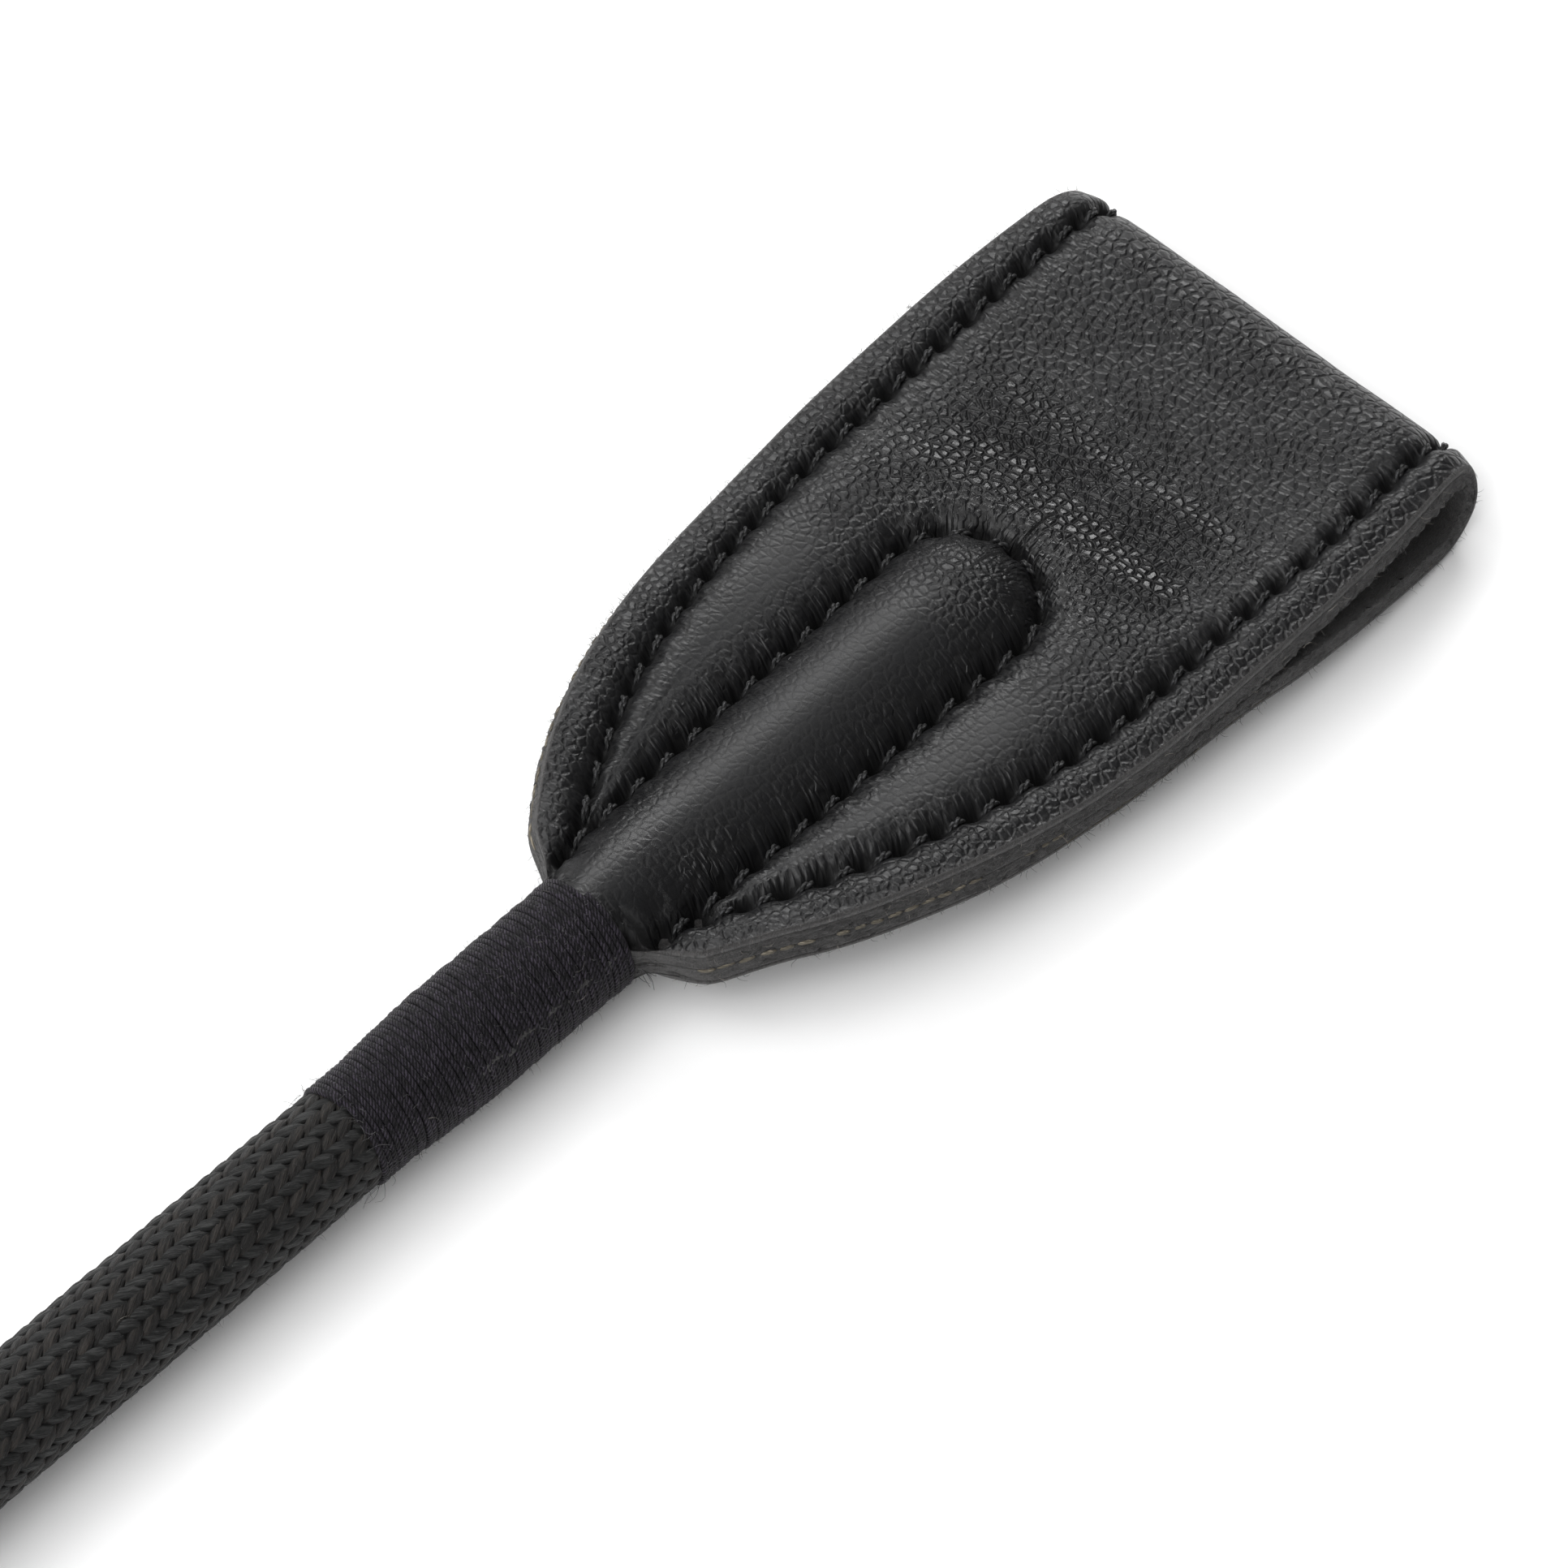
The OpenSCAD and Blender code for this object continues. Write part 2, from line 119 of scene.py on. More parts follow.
def new_object(name, data):
    """A new object, linked to the scene."""
    obj = bpy.data.objects.new(name, data)
    bpy.context.scene.collection.objects.link(obj)
    return obj


def build(name, verts, quads, caps=(), coords=None, masks=None, materials=(), slots=None,
          rows=None):
    """A mesh object from points of the crop frame. coords gives each point its place on the
    material in mm, rows its place beside a row of stitches, masks are one number for each
    point, and slots is each quad's material."""
    verts = to_row(verts)
    quads = np.asarray(quads, np.int32).reshape(-1, 4)
    caps = [np.asarray(c, np.int32) for c in caps]
    loops = np.concatenate([quads.ravel()] + [c.ravel() for c in caps])
    totals = np.concatenate(
        [np.full(len(quads), 4)] + [np.full(len(c), c.shape[1]) for c in caps]
    ).astype(np.int32)
    starts = join([0], np.cumsum(totals)[:-1]).astype(np.int32)
    mesh = bpy.data.meshes.new(name)
    mesh.vertices.add(len(verts))
    mesh.vertices.foreach_set("co", verts.astype(np.float32).ravel())
    mesh.loops.add(len(loops))
    mesh.loops.foreach_set("vertex_index", loops.astype(np.int32))
    mesh.polygons.add(len(totals))
    mesh.polygons.foreach_set("loop_start", starts)
    mesh.update(calc_edges=True)
    mesh.polygons.foreach_set("use_smooth", np.ones(len(totals), bool))
    if slots is not None:
        full = np.zeros(len(totals), np.int32)
        full[: len(slots)] = slots
        mesh.polygons.foreach_set("material_index", full)
    for key, places in (("lay", coords), ("rows", rows)):
        if places is not None:
            a = mesh.attributes.new(key, "FLOAT_VECTOR", "POINT")
            a.data.foreach_set("vector", np.asarray(places, np.float32).ravel())
    for key, values in (masks or {}).items():
        a = mesh.attributes.new(key, "FLOAT", "POINT")
        a.data.foreach_set("value", np.asarray(values, np.float32).ravel())
    for m in materials:
        mesh.materials.append(m)
    mesh.update()
    return new_object(name, mesh)


def grid_quads(rows, cols, start=0, wrap=False):
    """Quads of a grid of points, row by row. wrap joins the last column to the first."""
    i = np.arange(rows - 1)[:, None]
    j = np.arange(cols if wrap else cols - 1)[None, :]
    k = (j + 1) % cols
    q = vec(i * cols + j, (i + 1) * cols + j, (i + 1) * cols + k, i * cols + k)
    return q.reshape(-1, 4) + start


def loft(centres, up, section, scale):
    """Closed bodies, each lofted along its own line of centres. centres and up are
    (count, n, 3), section is (m, 2), scale is (count, n). Gives points, quads and caps."""
    side, up = frames(centres, up)
    count, n = centres.shape[:2]
    m = len(section)
    off = (side[:, :, None, :] * section[None, None, :, :1]
           + up[:, :, None, :] * section[None, None, :, 1:])
    pts = centres[:, :, None, :] + off * scale[:, :, None, None]
    one = grid_quads(n, m, wrap=True)
    shift = (np.arange(count) * n * m)[:, None, None]
    quads = (one[None] + shift).reshape(-1, 4)
    first = np.arange(m)[None] + shift[:, 0]
    last = (n - 1) * m + np.arange(m)[::-1][None] + shift[:, 0]
    return pts.reshape(-1, 3), quads, [first, last]


def frames(centres, up):
    """Side and up vectors square to each line of centres."""
    ahead = unit(np.gradient(centres, axis=1))
    side = unit(np.cross(ahead, up))
    return side, np.cross(side, ahead)


def circle(sides):
    """A round section of radius 1."""
    a = np.arange(sides) * 2 * math.pi / sides
    return vec(np.cos(a), np.sin(a))


def round_axis(x, r, a):
    """Points at x along the crop's axis and r away from it, at angle a from its top."""
    return vec(x, r * np.sin(a), r * np.cos(a))


def join_parts(parts):
    """Joins (points, quads, caps, coords) lists into one."""
    pts, quads, caps, coords = [], [], [], []
    start = 0
    for p, q, c, u in parts:
        pts.append(p)
        quads.append(np.asarray(q) + start)
        caps += [np.asarray(x) + start for x in c]
        coords.append(u)
        start += len(p)
    return np.concatenate(pts), np.concatenate(quads), caps, np.concatenate(coords)


def wobble(x, seed, scale, count=5):
    """Smooth seeded noise of one variable, about -1 to 1."""
    r = np.random.default_rng(seed)
    f = r.uniform(0.4, 2.2, count) / scale
    p = r.uniform(0, 2 * math.pi, count)
    a = r.uniform(0.4, 1.0, count)
    x = np.asarray(x, float)
    return sum(a[k] * np.sin(2 * math.pi * f[k] * x + p[k]) for k in range(count)) / a.sum()


def hairs(roots, aim, length, radius, seed, bend=0.7, sides=3, steps=5):
    """Fine hairs that leave the roots roughly along aim and curl."""
    r = np.random.default_rng(seed)
    k = len(roots)
    way = unit(aim + r.normal(0, 0.45, (k, 3)))
    curl = unit(np.cross(way, r.normal(0, 1, (k, 3))))
    size = length * r.uniform(0.35, 1.0, k)[:, None, None]
    t = np.linspace(0, 1, steps)[None, :, None]
    twist = unit(np.cross(way, curl))
    sway = r.uniform(-1, 1, k)[:, None, None]
    line = roots[:, None] + size * (way[:, None] * t + curl[:, None] * bend * t ** 2
                                    + twist[:, None] * 0.5 * sway * np.sin(2.5 * t))
    thin = np.broadcast_to(radius * (1 - 0.65 * t[..., 0]), (k, steps))
    pts, quads, caps = loft(line, curl[:, None], circle(sides), thin)
    u = np.repeat(np.broadcast_to(t[..., 0], (k, steps)).ravel(), sides)
    return pts, quads, caps, vec(u * 2, 0, np.repeat(np.arange(k), steps * sides))


def hair_piece(name, material, *lots):
    """One piece made of one or more lots of hairs."""
    return build(name, *join_parts(lots), materials=(material,))


# ---------------------------------------------------------------- materials

class Graph:
    """A material and short ways to add nodes to it."""

    def __init__(self, name, **surface):
        self.material = bpy.data.materials.new(name)
        self.material.use_nodes = True
        self.tree = self.material.node_tree
        self.surface = self.tree.nodes["Principled BSDF"]
        self.set(self.surface, surface)

    def set(self, node, inputs):
        for key, value in inputs.items():
            socket = node.inputs[int(key[1:])] if key[1:].isdigit() else node.inputs[
                key.replace("_", " ")]
            if isinstance(value, bpy.types.NodeSocket):
                self.tree.links.new(value, socket)
            elif value is not None:
                socket.default_value = value
        return node

    def add(self, kind, settings=None, **inputs):
        node = self.tree.nodes.new("ShaderNode" + kind)
        for key, value in (settings or {}).items():
            setattr(node, key, value)
        return self.set(node, inputs)

    def lay(self, x=1.0, y=1.0, z=1.0, attribute="lay"):
        """The piece's own coordinates in mm, scaled."""
        at = self.add("Attribute", {"attribute_name": attribute})
        return self.add("Mapping", Vector=at.outputs["Vector"], Scale=(x, y, z)).outputs[0]

    def mask(self, name):
        return self.add("Attribute", {"attribute_name": name}).outputs["Fac"]

    def noise(self, vector, scale, detail=3.0, rough=0.55):
        n = self.add("TexNoise", Vector=vector, Scale=scale, Detail=detail, Roughness=rough)
        return n.outputs["Fac"]

    def warp(self, vector, scale, amount):
        """vector moved about by noise, by up to about amount."""
        n = self.add("TexNoise", Vector=vector, Scale=scale, Detail=2.0).outputs["Color"]
        centred = self.add("VectorMath", {"operation": "SUBTRACT"}, _0=n, _1=(0.5,) * 3)
        moved = self.add("VectorMath", {"operation": "SCALE"}, _0=centred.outputs[0],
                         Scale=amount * 2)
        return self.add("VectorMath", {"operation": "ADD"}, _0=vector,
                        _1=moved.outputs[0]).outputs[0]

    def math(self, operation, a, b=None):
        return self.add("Math", {"operation": operation}, _0=a, _1=b).outputs[0]

    def plus(self, a, b):
        return self.math("ADD", a, b)

    def times(self, a, b):
        return self.math("MULTIPLY", a, b)

    def ramp(self, value, low, high, to_low=0.0, to_high=1.0):
        return self.add("MapRange", {"interpolation_type": "SMOOTHSTEP"}, Value=value,
                        From_Min=low, From_Max=high, To_Min=to_low, To_Max=to_high).outputs[0]

    def mix(self, factor, a, b):
        return self.add("Mix", {"data_type": "RGBA"}, _0=factor, _6=a, _7=b).outputs[2]

    def bump(self, height, depth, normal=None):
        """Relief of that height field, depth in mm from 0 to 1."""
        return self.add("Bump", Height=height, Distance=depth / 1000, Strength=1.0,
                        Normal=normal).outputs[0]

    def finish(self, colour=None, rough=None, normal=None):
        self.set(self.surface, {"Base_Color": colour, "Roughness": rough, "Normal": normal})
        return self.material


def rgb(r, g, b):
    """An opaque colour."""
    return (r, g, b, 1.0)


def grain(g, place, width, shoulder):
    """Creases between cells, and the rounded shoulders of flat-topped cells."""
    cells = g.add("TexVoronoi", {"feature": "DISTANCE_TO_EDGE", "voronoi_dimensions": "2D"},
                  Vector=place, Scale=1.0, Randomness=0.85)
    edge = cells.outputs["Distance"]
    return g.ramp(edge, 0.0, width), g.ramp(edge, -0.03, shoulder)


def leather_material(name):
    """Pebbled faux leather: small cells with creases between them. Beside the rows of
    stitches the cells are drawn out across the row; on the padded tops they are stretched
    nearly flat. The creases are coloured darker than the cell tops as painted shade, and
    the stitches' holes are dull, with near-black painted shade."""
    g = Graph(name, Specular_IOR_Level=0.32)
    place = g.warp(g.warp(g.lay(1.3, 1.12), 0.8, 0.25), 3.0, 0.12)
    crease, dome = grain(g, place, 0.13, 0.30)
    beside = g.warp(g.lay(1.45, 0.55, 1.0, "rows"), 1.1, 0.4)
    long_crease, long_dome = grain(g, beside, 0.2, 0.42)
    drawn = g.mask("drawn")
    crease = g.mix(drawn, crease, long_crease)
    dome = g.mix(drawn, dome, long_dome)
    shine = g.mask("shine")
    calm = g.mask("calm")
    pit = g.mask("pit")
    # Where the tops are calm, the creases get little painted shade.
    crease = g.math("MAXIMUM", crease, g.times(calm, 0.8))
    fine = g.noise(g.lay(), 7.0, 5.0, 0.7)
    patches = g.noise(g.lay(), 0.22, 3.0)
    lumps = g.noise(g.lay(), 0.9, 2.0)
    depth = g.ramp(patches, 0.3, 0.7, 0.6, 1.0)
    depth = g.times(depth, g.ramp(shine, 0.0, 1.0, 0.8, 1.35))
    depth = g.times(depth, g.ramp(calm, 0.0, 1.0, 1.0, 0.12))
    height = g.plus(g.times(dome, 0.75), g.times(lumps, 0.4))
    relief = g.bump(g.times(height, depth), 0.19)
    relief = g.bump(fine, 0.014, relief)
    # Painted shade: the creases between cells are coloured darker than the cell tops.
    base = g.mix(crease, rgb(0.0012, 0.0011, 0.0012), rgb(0.0057, 0.0058, 0.0065))
    base = g.mix(g.ramp(patches, 0.35, 0.7, 0.0, 0.6), base, rgb(0.0044, 0.0042, 0.0046))
    # Painted shade in the stitches' needle holes: near black.
    base = g.mix(pit, base, rgb(0.0006, 0.0005, 0.0006))
    worn = g.times(g.mask("wear"), g.ramp(fine, 0.35, 0.6))
    base = g.mix(worn, base, rgb(0.05, 0.048, 0.048))
    rough = g.ramp(crease, 0.0, 1.0, 0.58, 0.32)
    rough = g.plus(rough, g.times(pit, 0.6))
    rough = g.math("SUBTRACT", rough, g.times(shine, 0.13))
    rough = g.plus(rough, g.times(calm, 0.07))
    rough = g.plus(rough, g.times(g.math("SUBTRACT", fine, 0.5), 0.25))
    return g.finish(base, rough, relief)


def felt_material(name, dark, light, speck):
    """Matted fibres: streaks in many directions, paler flecks, soft sheen."""
    g = Graph(name, Specular_IOR_Level=0.15, Sheen_Weight=0.25, Sheen_Roughness=0.6)
    place = g.warp(g.lay(), 1.2, 0.5)
    streaks = g.noise(g.add("Mapping", Vector=place, Scale=(2.5, 9.0, 6.0)).outputs[0],
                      1.0, 5.0, 0.7)
    flecks = g.noise(g.lay(), 5.0, 2.0)
    base = g.mix(g.ramp(streaks, 0.35, 0.68), dark, light)
    base = g.mix(g.ramp(flecks, 0.66, 0.74), base, speck)
    relief = g.bump(streaks, 0.22)
    return g.finish(base, g.ramp(streaks, 0.2, 0.8, 0.95, 0.8), relief)


def thread_material(name, dark, light, shine=0.3, plies=2.2, gloss=0.48):
    """Twisted thread: plies running slantwise round it. lay is (along, around) in mm."""
    g = Graph(name, Specular_IOR_Level=shine, Sheen_Weight=0.03, Sheen_Roughness=0.5)
    at = g.lay(plies, plies)
    wave = g.add("TexWave", {"wave_type": "BANDS", "bands_direction": "DIAGONAL"},
                 Vector=at, Scale=0.5, Distortion=1.2, Detail=2.0, Detail_Scale=2.0)
    fine = g.noise(g.lay(2.0, 9.0, 1.0), 1.0, 4.0, 0.7)
    plied = g.plus(g.times(wave.outputs["Fac"], 0.6), g.times(fine, 0.6))
    broad = g.noise(g.lay(0.35, 0.35, 1.0), 1.0, 2.0)
    base = g.mix(g.ramp(plied, 0.25, 0.9), dark, light)
    base = g.mix(g.ramp(broad, 0.35, 0.7, 0.0, 0.5), base, dark)
    flecks = g.noise(g.lay(1.0, 1.8, 1.0), 1.0, 3.0, 0.7)
    base = g.mix(g.ramp(flecks, 0.42, 0.60, 0.92, 0.0), base, dark)
    return g.finish(base, g.ramp(plied, 0.2, 0.9, 0.8, gloss), g.bump(plied, 0.09))


def yarn_material(name, dark, light, warm):
    """Flat bundle of fine filaments that run along it, with painted shade towards its
    edges. lay is (along, across) in mm.
    """
    g = Graph(name, Specular_IOR_Level=0.25, Sheen_Weight=0.02, Sheen_Roughness=0.45)
    lines = g.noise(g.warp(g.lay(0.7, 11.0, 1.0), 0.6, 0.6), 1.0, 4.0, 0.65)
    broad = g.noise(g.lay(0.22, 0.4, 1.0), 1.0, 3.0)
    base = g.mix(g.ramp(lines, 0.3, 0.72), dark, light)
    base = g.mix(g.ramp(broad, 0.4, 0.75, 0.0, 0.7), base, warm)
    strands = g.noise(g.lay(0.6, 2.5, 1.0), 1.0, 3.0, 0.6)
    base = g.mix(g.ramp(strands, 0.42, 0.60, 0.92, 0.0), base, dark)
    # Painted shade between yarns: each yarn is coloured darker towards its edges, where it tucks
    # under its neighbours.
    across = g.add("SeparateXYZ", Vector=g.lay()).outputs[1]
    base = g.mix(g.ramp(g.math("ABSOLUTE", across), 0.26, 0.56, 0.0, 0.9), base, dark)
    relief = g.bump(strands, 0.20, g.bump(lines, 0.10))
    return g.finish(base, g.ramp(lines, 0.25, 0.8, 0.72, 0.40), relief)


def hair_material(name, dark, light):
    """Fine filaments, some of them paler."""
    g = Graph(name, Specular_IOR_Level=0.4, Sheen_Weight=0.2)
    own = g.noise(g.lay(0.5, 1.0, 0.37), 1.0, 1.0)
    return g.finish(g.mix(g.ramp(own, 0.45, 0.65), dark, light),
                    g.ramp(own, 0.3, 0.7, 0.55, 0.75))


def rubber_material(name, dark, light, rough):
    """Moulded plastic or rubber with a fine spark texture. Uses the object's coordinates."""
    g = Graph(name, Specular_IOR_Level=0.4)
    place = g.add("TexCoord").outputs["Object"]
    spark = g.noise(place, 2600.0, 3.0)
    scuffs = g.noise(place, 90.0, 5.0, 0.7)
    base = g.mix(g.ramp(scuffs, 0.45, 0.75), dark, light)
    return g.finish(base, g.ramp(scuffs, 0.3, 0.7, rough, rough + 0.15), g.bump(spark, 0.04))


def metal_material(name, colour, stain, rough):
    """Brushed, a little stained metal. Uses the object's coordinates."""
    g = Graph(name, Metallic=1.0)
    place = g.add("TexCoord").outputs["Object"]
    brushed = g.noise(g.add("Mapping", Vector=place, Scale=(4000.0, 4000.0, 300.0)).outputs[0],
                      1.0, 3.0)
    tarnish = g.noise(place, 500.0, 4.0, 0.6)
    base = g.mix(g.ramp(tarnish, 0.5, 0.75, 0.0, 0.8), colour, stain)
    return g.finish(base, g.ramp(brushed, 0.3, 0.7, rough, rough + 0.18), g.bump(brushed, 0.01))


def fibre_material(name, dark, light, scale):
    """Glass fibre, filler yarn or cork, for pieces inside the crop."""
    g = Graph(name, Specular_IOR_Level=0.3)
    place = g.add("TexCoord").outputs["Object"]
    lines = g.noise(g.add("Mapping", Vector=place, Scale=scale).outputs[0], 1.0, 4.0, 0.6)
    return g.finish(g.mix(g.ramp(lines, 0.3, 0.7), dark, light),
                    g.ramp(lines, 0.3, 0.7, 0.45, 0.7), g.bump(lines, 0.05))


LEATHER = leather_material("pebbled_leather")
CUT_EDGE = felt_material("cut_edge", rgb(0.012, 0.011, 0.011), rgb(0.04, 0.037, 0.036),
                         rgb(0.10, 0.09, 0.085))
FELT = felt_material("dark_felt", rgb(0.010, 0.0095, 0.0095), rgb(0.036, 0.033, 0.032),
                     rgb(0.11, 0.10, 0.095))
SEWING = thread_material("sewing_thread", rgb(0.0015, 0.0015, 0.0017), rgb(0.036, 0.036, 0.039),
                         shine=0.4, gloss=0.34)
BACKING = thread_material("backing_thread", rgb(0.10, 0.088, 0.066), rgb(0.34, 0.30, 0.235))
WINDING = thread_material("winding_thread", rgb(0.0020, 0.0016, 0.0026),
                          rgb(0.038, 0.031, 0.045), shine=0.16, plies=3.2)
YARN_WARM = yarn_material("braid_yarn_warm", rgb(0.0025, 0.0021, 0.0018),
                          rgb(0.031, 0.0263, 0.0228), rgb(0.019, 0.0155, 0.013))
YARN_COOL = yarn_material("braid_yarn_cool", rgb(0.0022, 0.0024, 0.0024),
                          rgb(0.032, 0.0328, 0.032), rgb(0.018, 0.0185, 0.0185))
DARK_HAIR = hair_material("dark_filaments", rgb(0.012, 0.011, 0.012), rgb(0.05, 0.048, 0.05))
PALE_HAIR = hair_material("pale_filaments", rgb(0.09, 0.08, 0.07), rgb(0.34, 0.31, 0.27))

# ---------------------------------------------------------------- the flap's strip

BEND_X = -27.0
RISE_X = -38.0
SKIN_T = 0.5
LEAF_T = 2.05
SEAM_GAP = 0.02
# Room that the felt leaves for the rod, and where it starts
ROOM_R = 3.47
ROOM_END = -33.6
FOLD_AT = np.array((-4.0, -0.3))
FOLD_HALF = np.array((5.0, 4.6))
NECK_X = -96.5
WHIP_FRONT = -80.0
POCKET_END = -38.0
STITCH = 3.3
# Length of strip hidden by the whipping at each end, and where its border stitches begin
TUCK = 17.0
FIRST_STITCH = 19.5
# Part of each pitch that a thread shows in, and how far it leans across its row
REACH = np.linspace(0.24, 0.76, 10)[None]
SLANT = (REACH - 0.5) * 0.8


def fold_angle(point, side):
    """Angle on the fold's ellipse where a straight leaf from point touches it. side is 1
    for the upper leaf and -1 for the lower one."""
    away = (np.array(point) - FOLD_AT) / FOLD_HALF
    return math.atan2(away[1], away[0]) - side * math.acos(1 / np.linalg.norm(away))


def side_view():
    """The strip's base line seen from the side: length along it, x, z and the two parts of
    its outward normal. It runs over the top, round the fold and back under."""
    gap = 0.05
    top_x = np.arange(NECK_X, RISE_X, gap)
    top = vec(top_x, np.full_like(top_x, LEAF_T))
    first = fold_angle((RISE_X, LEAF_T), 1)
    last = fold_angle((BEND_X, -LEAF_T), -1)
    first = first % (2 * math.pi)
    last = last % (2 * math.pi) - 2 * math.pi
    a = np.linspace(first, last, 400)
    arc = FOLD_AT + FOLD_HALF * vec(np.cos(a), np.sin(a))
    rise = np.linspace(top[-1], arc[0], int(np.linalg.norm(arc[0] - top[-1]) / gap))[1:-1]
    bend = np.array((BEND_X, -LEAF_T))
    back = np.linspace(arc[-1], bend, int(np.linalg.norm(bend - arc[-1]) / gap))[1:]
    flat_x = np.arange(BEND_X - gap, NECK_X, -gap)
    flat = vec(flat_x, np.full_like(flat_x, -LEAF_T))
    line = join(top, rise, arc, back, flat)
    along = lengths(line)
    even = np.arange(0, along[-1], gap)
    line = at_lengths(even, along, line)
    half = 40
    window = np.hanning(2 * half + 1)
    window /= window.sum()
    padded = np.pad(line, ((half, half), (0, 0)), mode="reflect", reflect_type="odd")
    soft = vec(*[np.convolve(padded[:, k], window, "valid") for k in (0, 1)])
    length = lengths(soft)
    ahead = unit(np.gradient(soft, axis=0))
    normal = vec(-ahead[:, 1], ahead[:, 0])
    return length, soft, normal


RUN, RUN_LINE, RUN_NORMAL = side_view()
RUN_L = RUN[-1]
FOLD_MID = RUN[np.argmax(RUN_LINE[:, 0])]


def base_at(s):
    """x, z and normal of the base line at lengths s."""
    x = np.interp(s, RUN, RUN_LINE[:, 0])
    z = np.interp(s, RUN, RUN_LINE[:, 1])
    nx = np.interp(s, RUN, RUN_NORMAL[:, 0])
    nz = np.interp(s, RUN, RUN_NORMAL[:, 1])
    size = np.hypot(nx, nz)
    return x, z, nx / size, nz / size


# Half width of the strip, where its border row of stitches runs, and its channel row
SIDE = join(bezier([(-80, 6.6), (-71.4, 13.6), (-61.7, 22.4), (-20, 22.4)], 60),
            bezier([(-20, 22.4), (-11.7, 22.4), (-4.5, 21.8), (0.5, 21)], 30)[1:])
BORDER = join(bezier([(-77, 5.4), (-69.5, 8.6), (-62, 16.4), (-34, 17.9)], 60),
              [(-14, 18.3), (-4, 18.1), (0.5, 17.9)])
NECK_HALF = 4.55
CHANNEL_NECK_Y = 5.7
CHANNEL_Y = 6.8
CHANNEL_END = 6.3


def half_width(x):
    """Half the width of the flap at x."""
    w = np.interp(x, SIDE[:, 0], SIDE[:, 1])
    gather = step(x, WHIP_FRONT - 0.8, WHIP_FRONT + 3.2)
    return NECK_HALF + (w - NECK_HALF) * gather


def edge_out(s, share):
    """How far the cut edge stands out. It slants outwards all the way from the top of the
    upper leaf to the bottom of the lower one. share is 0 at the leather, 1 at the seam."""
    x, z, _, _ = base_at(s)
    lower = step(z, 1.5, -3.0)
    slant = 0.15 + 0.20 * step(x, -32, -22) + 0.35 * step(x, -44, -58)
    return slant * (share * (1 - lower) + (2 - share) * lower) * step(x, WHIP_FRONT, -76)


def felt_edge(s, share):
    """Distance of the felt's cut edge from the middle."""
    return half_width(base_at(s)[0]) + edge_out(s, share) + 0.04


def border_y(x):
    """Distance of the border row from the middle, at x."""
    w = np.interp(x, BORDER[:, 0], BORDER[:, 1])
    return np.minimum(w, half_width(x) - 0.7)


def channel_y(x):
    """Distance of the channel row from the middle, at x."""
    y = np.interp(x, [WHIP_FRONT, POCKET_END], [CHANNEL_NECK_Y, CHANNEL_Y])
    tight = step(x, WHIP_FRONT - 1, WHIP_FRONT + 5)
    return 4.9 + (y - 4.9) * tight


def channel_line():
    """The U-shaped row of stitches, from one side of the whipping to the other."""
    leg = np.linspace(WHIP_FRONT, POCKET_END, 420)
    a = np.linspace(math.pi / 2, -math.pi / 2, 200)[1:-1]
    end = vec(POCKET_END + CHANNEL_END * np.cos(a), CHANNEL_Y * np.sin(a))
    up = vec(leg, channel_y(leg))
    return join(up, end, up[::-1] * (1, -1))


CHANNEL = channel_line()
CHANNEL_RUN = lengths(CHANNEL)
STITCH_RUN = np.linspace(0, RUN_L, 4000)


def border_run():
    """Length along the border row, at each of STITCH_RUN."""
    x, z, _, _ = base_at(STITCH_RUN)
    line = vec(x, border_y(x), z)
    return lengths(line)


BORDER_RUN = border_run()


def nearest(points, line, run):
    """Distance from each point to a line, and the length along it there."""
    best = np.full(len(points), 1e9)
    at = np.zeros(len(points))
    for k in range(0, len(line), 4):
        d = np.hypot(points[:, 0] - line[k, 0], points[:, 1] - line[k, 1])
        closer = d < best
        best[closer] = d[closer]
        at[closer] = run[k]
    return best, at


def seam(d, along, deep=1.0, pitch=STITCH):
    """How far a row of stitches pulls the leather in, at distance d from the row."""
    pull = 0.5 + 0.5 * np.cos(2 * math.pi * along / pitch)
    hole = bell((along / pitch - np.round(along / pitch)) * pitch, 0.62)
    return deep * (
        0.42 * bell(d, 0.62) + 0.34 * pull * bell(d, 1.5) + 0.75 * hole * bell(d, 0.52)
    )


def hole_shade_at(d, along):
    """Painted shade of a row of stitches at distance d from it: darkest in its holes."""
    hole = bell((along / STITCH - np.round(along / STITCH)) * STITCH, 0.75)
    return bell(d, 0.75) * (0.25 + 0.75 * hole)


def skew(x):
    """The flap leans slightly to one side towards its end."""
    return 0.5 * step(x, -75, -15)


def rows_near(s, y):
    """Distance from the nearest row of stitches and length along it: first for the border
    rows, then for the channel's row."""
    x, z, _, nz = base_at(s)
    side = np.abs(y)
    yb = border_y(x)
    on_leaf = step(np.abs(nz), 0.93, 0.99)
    slope = np.gradient(BORDER[:, 1], BORDER[:, 0])
    rise = np.interp(x, BORDER[:, 0], slope) * on_leaf
    border = (side - yb) / np.hypot(1, rise)
    sign = np.where(z > 0, 1.0, -1.0)
    foot = s + sign * (side - yb) * rise / (1 + rise ** 2)
    border_along = np.interp(foot, STITCH_RUN, BORDER_RUN)
    channel = np.full(len(x), 99.0)
    channel_along = np.zeros(len(x))
    near = (x > WHIP_FRONT - 1.5) & (x < POCKET_END + CHANNEL_END + 6) & (side < 14)
    pts = vec(x[near], y[near])
    channel[near], channel_along[near] = nearest(pts, CHANNEL, CHANNEL_RUN)
    return border, border_along, channel, channel_along


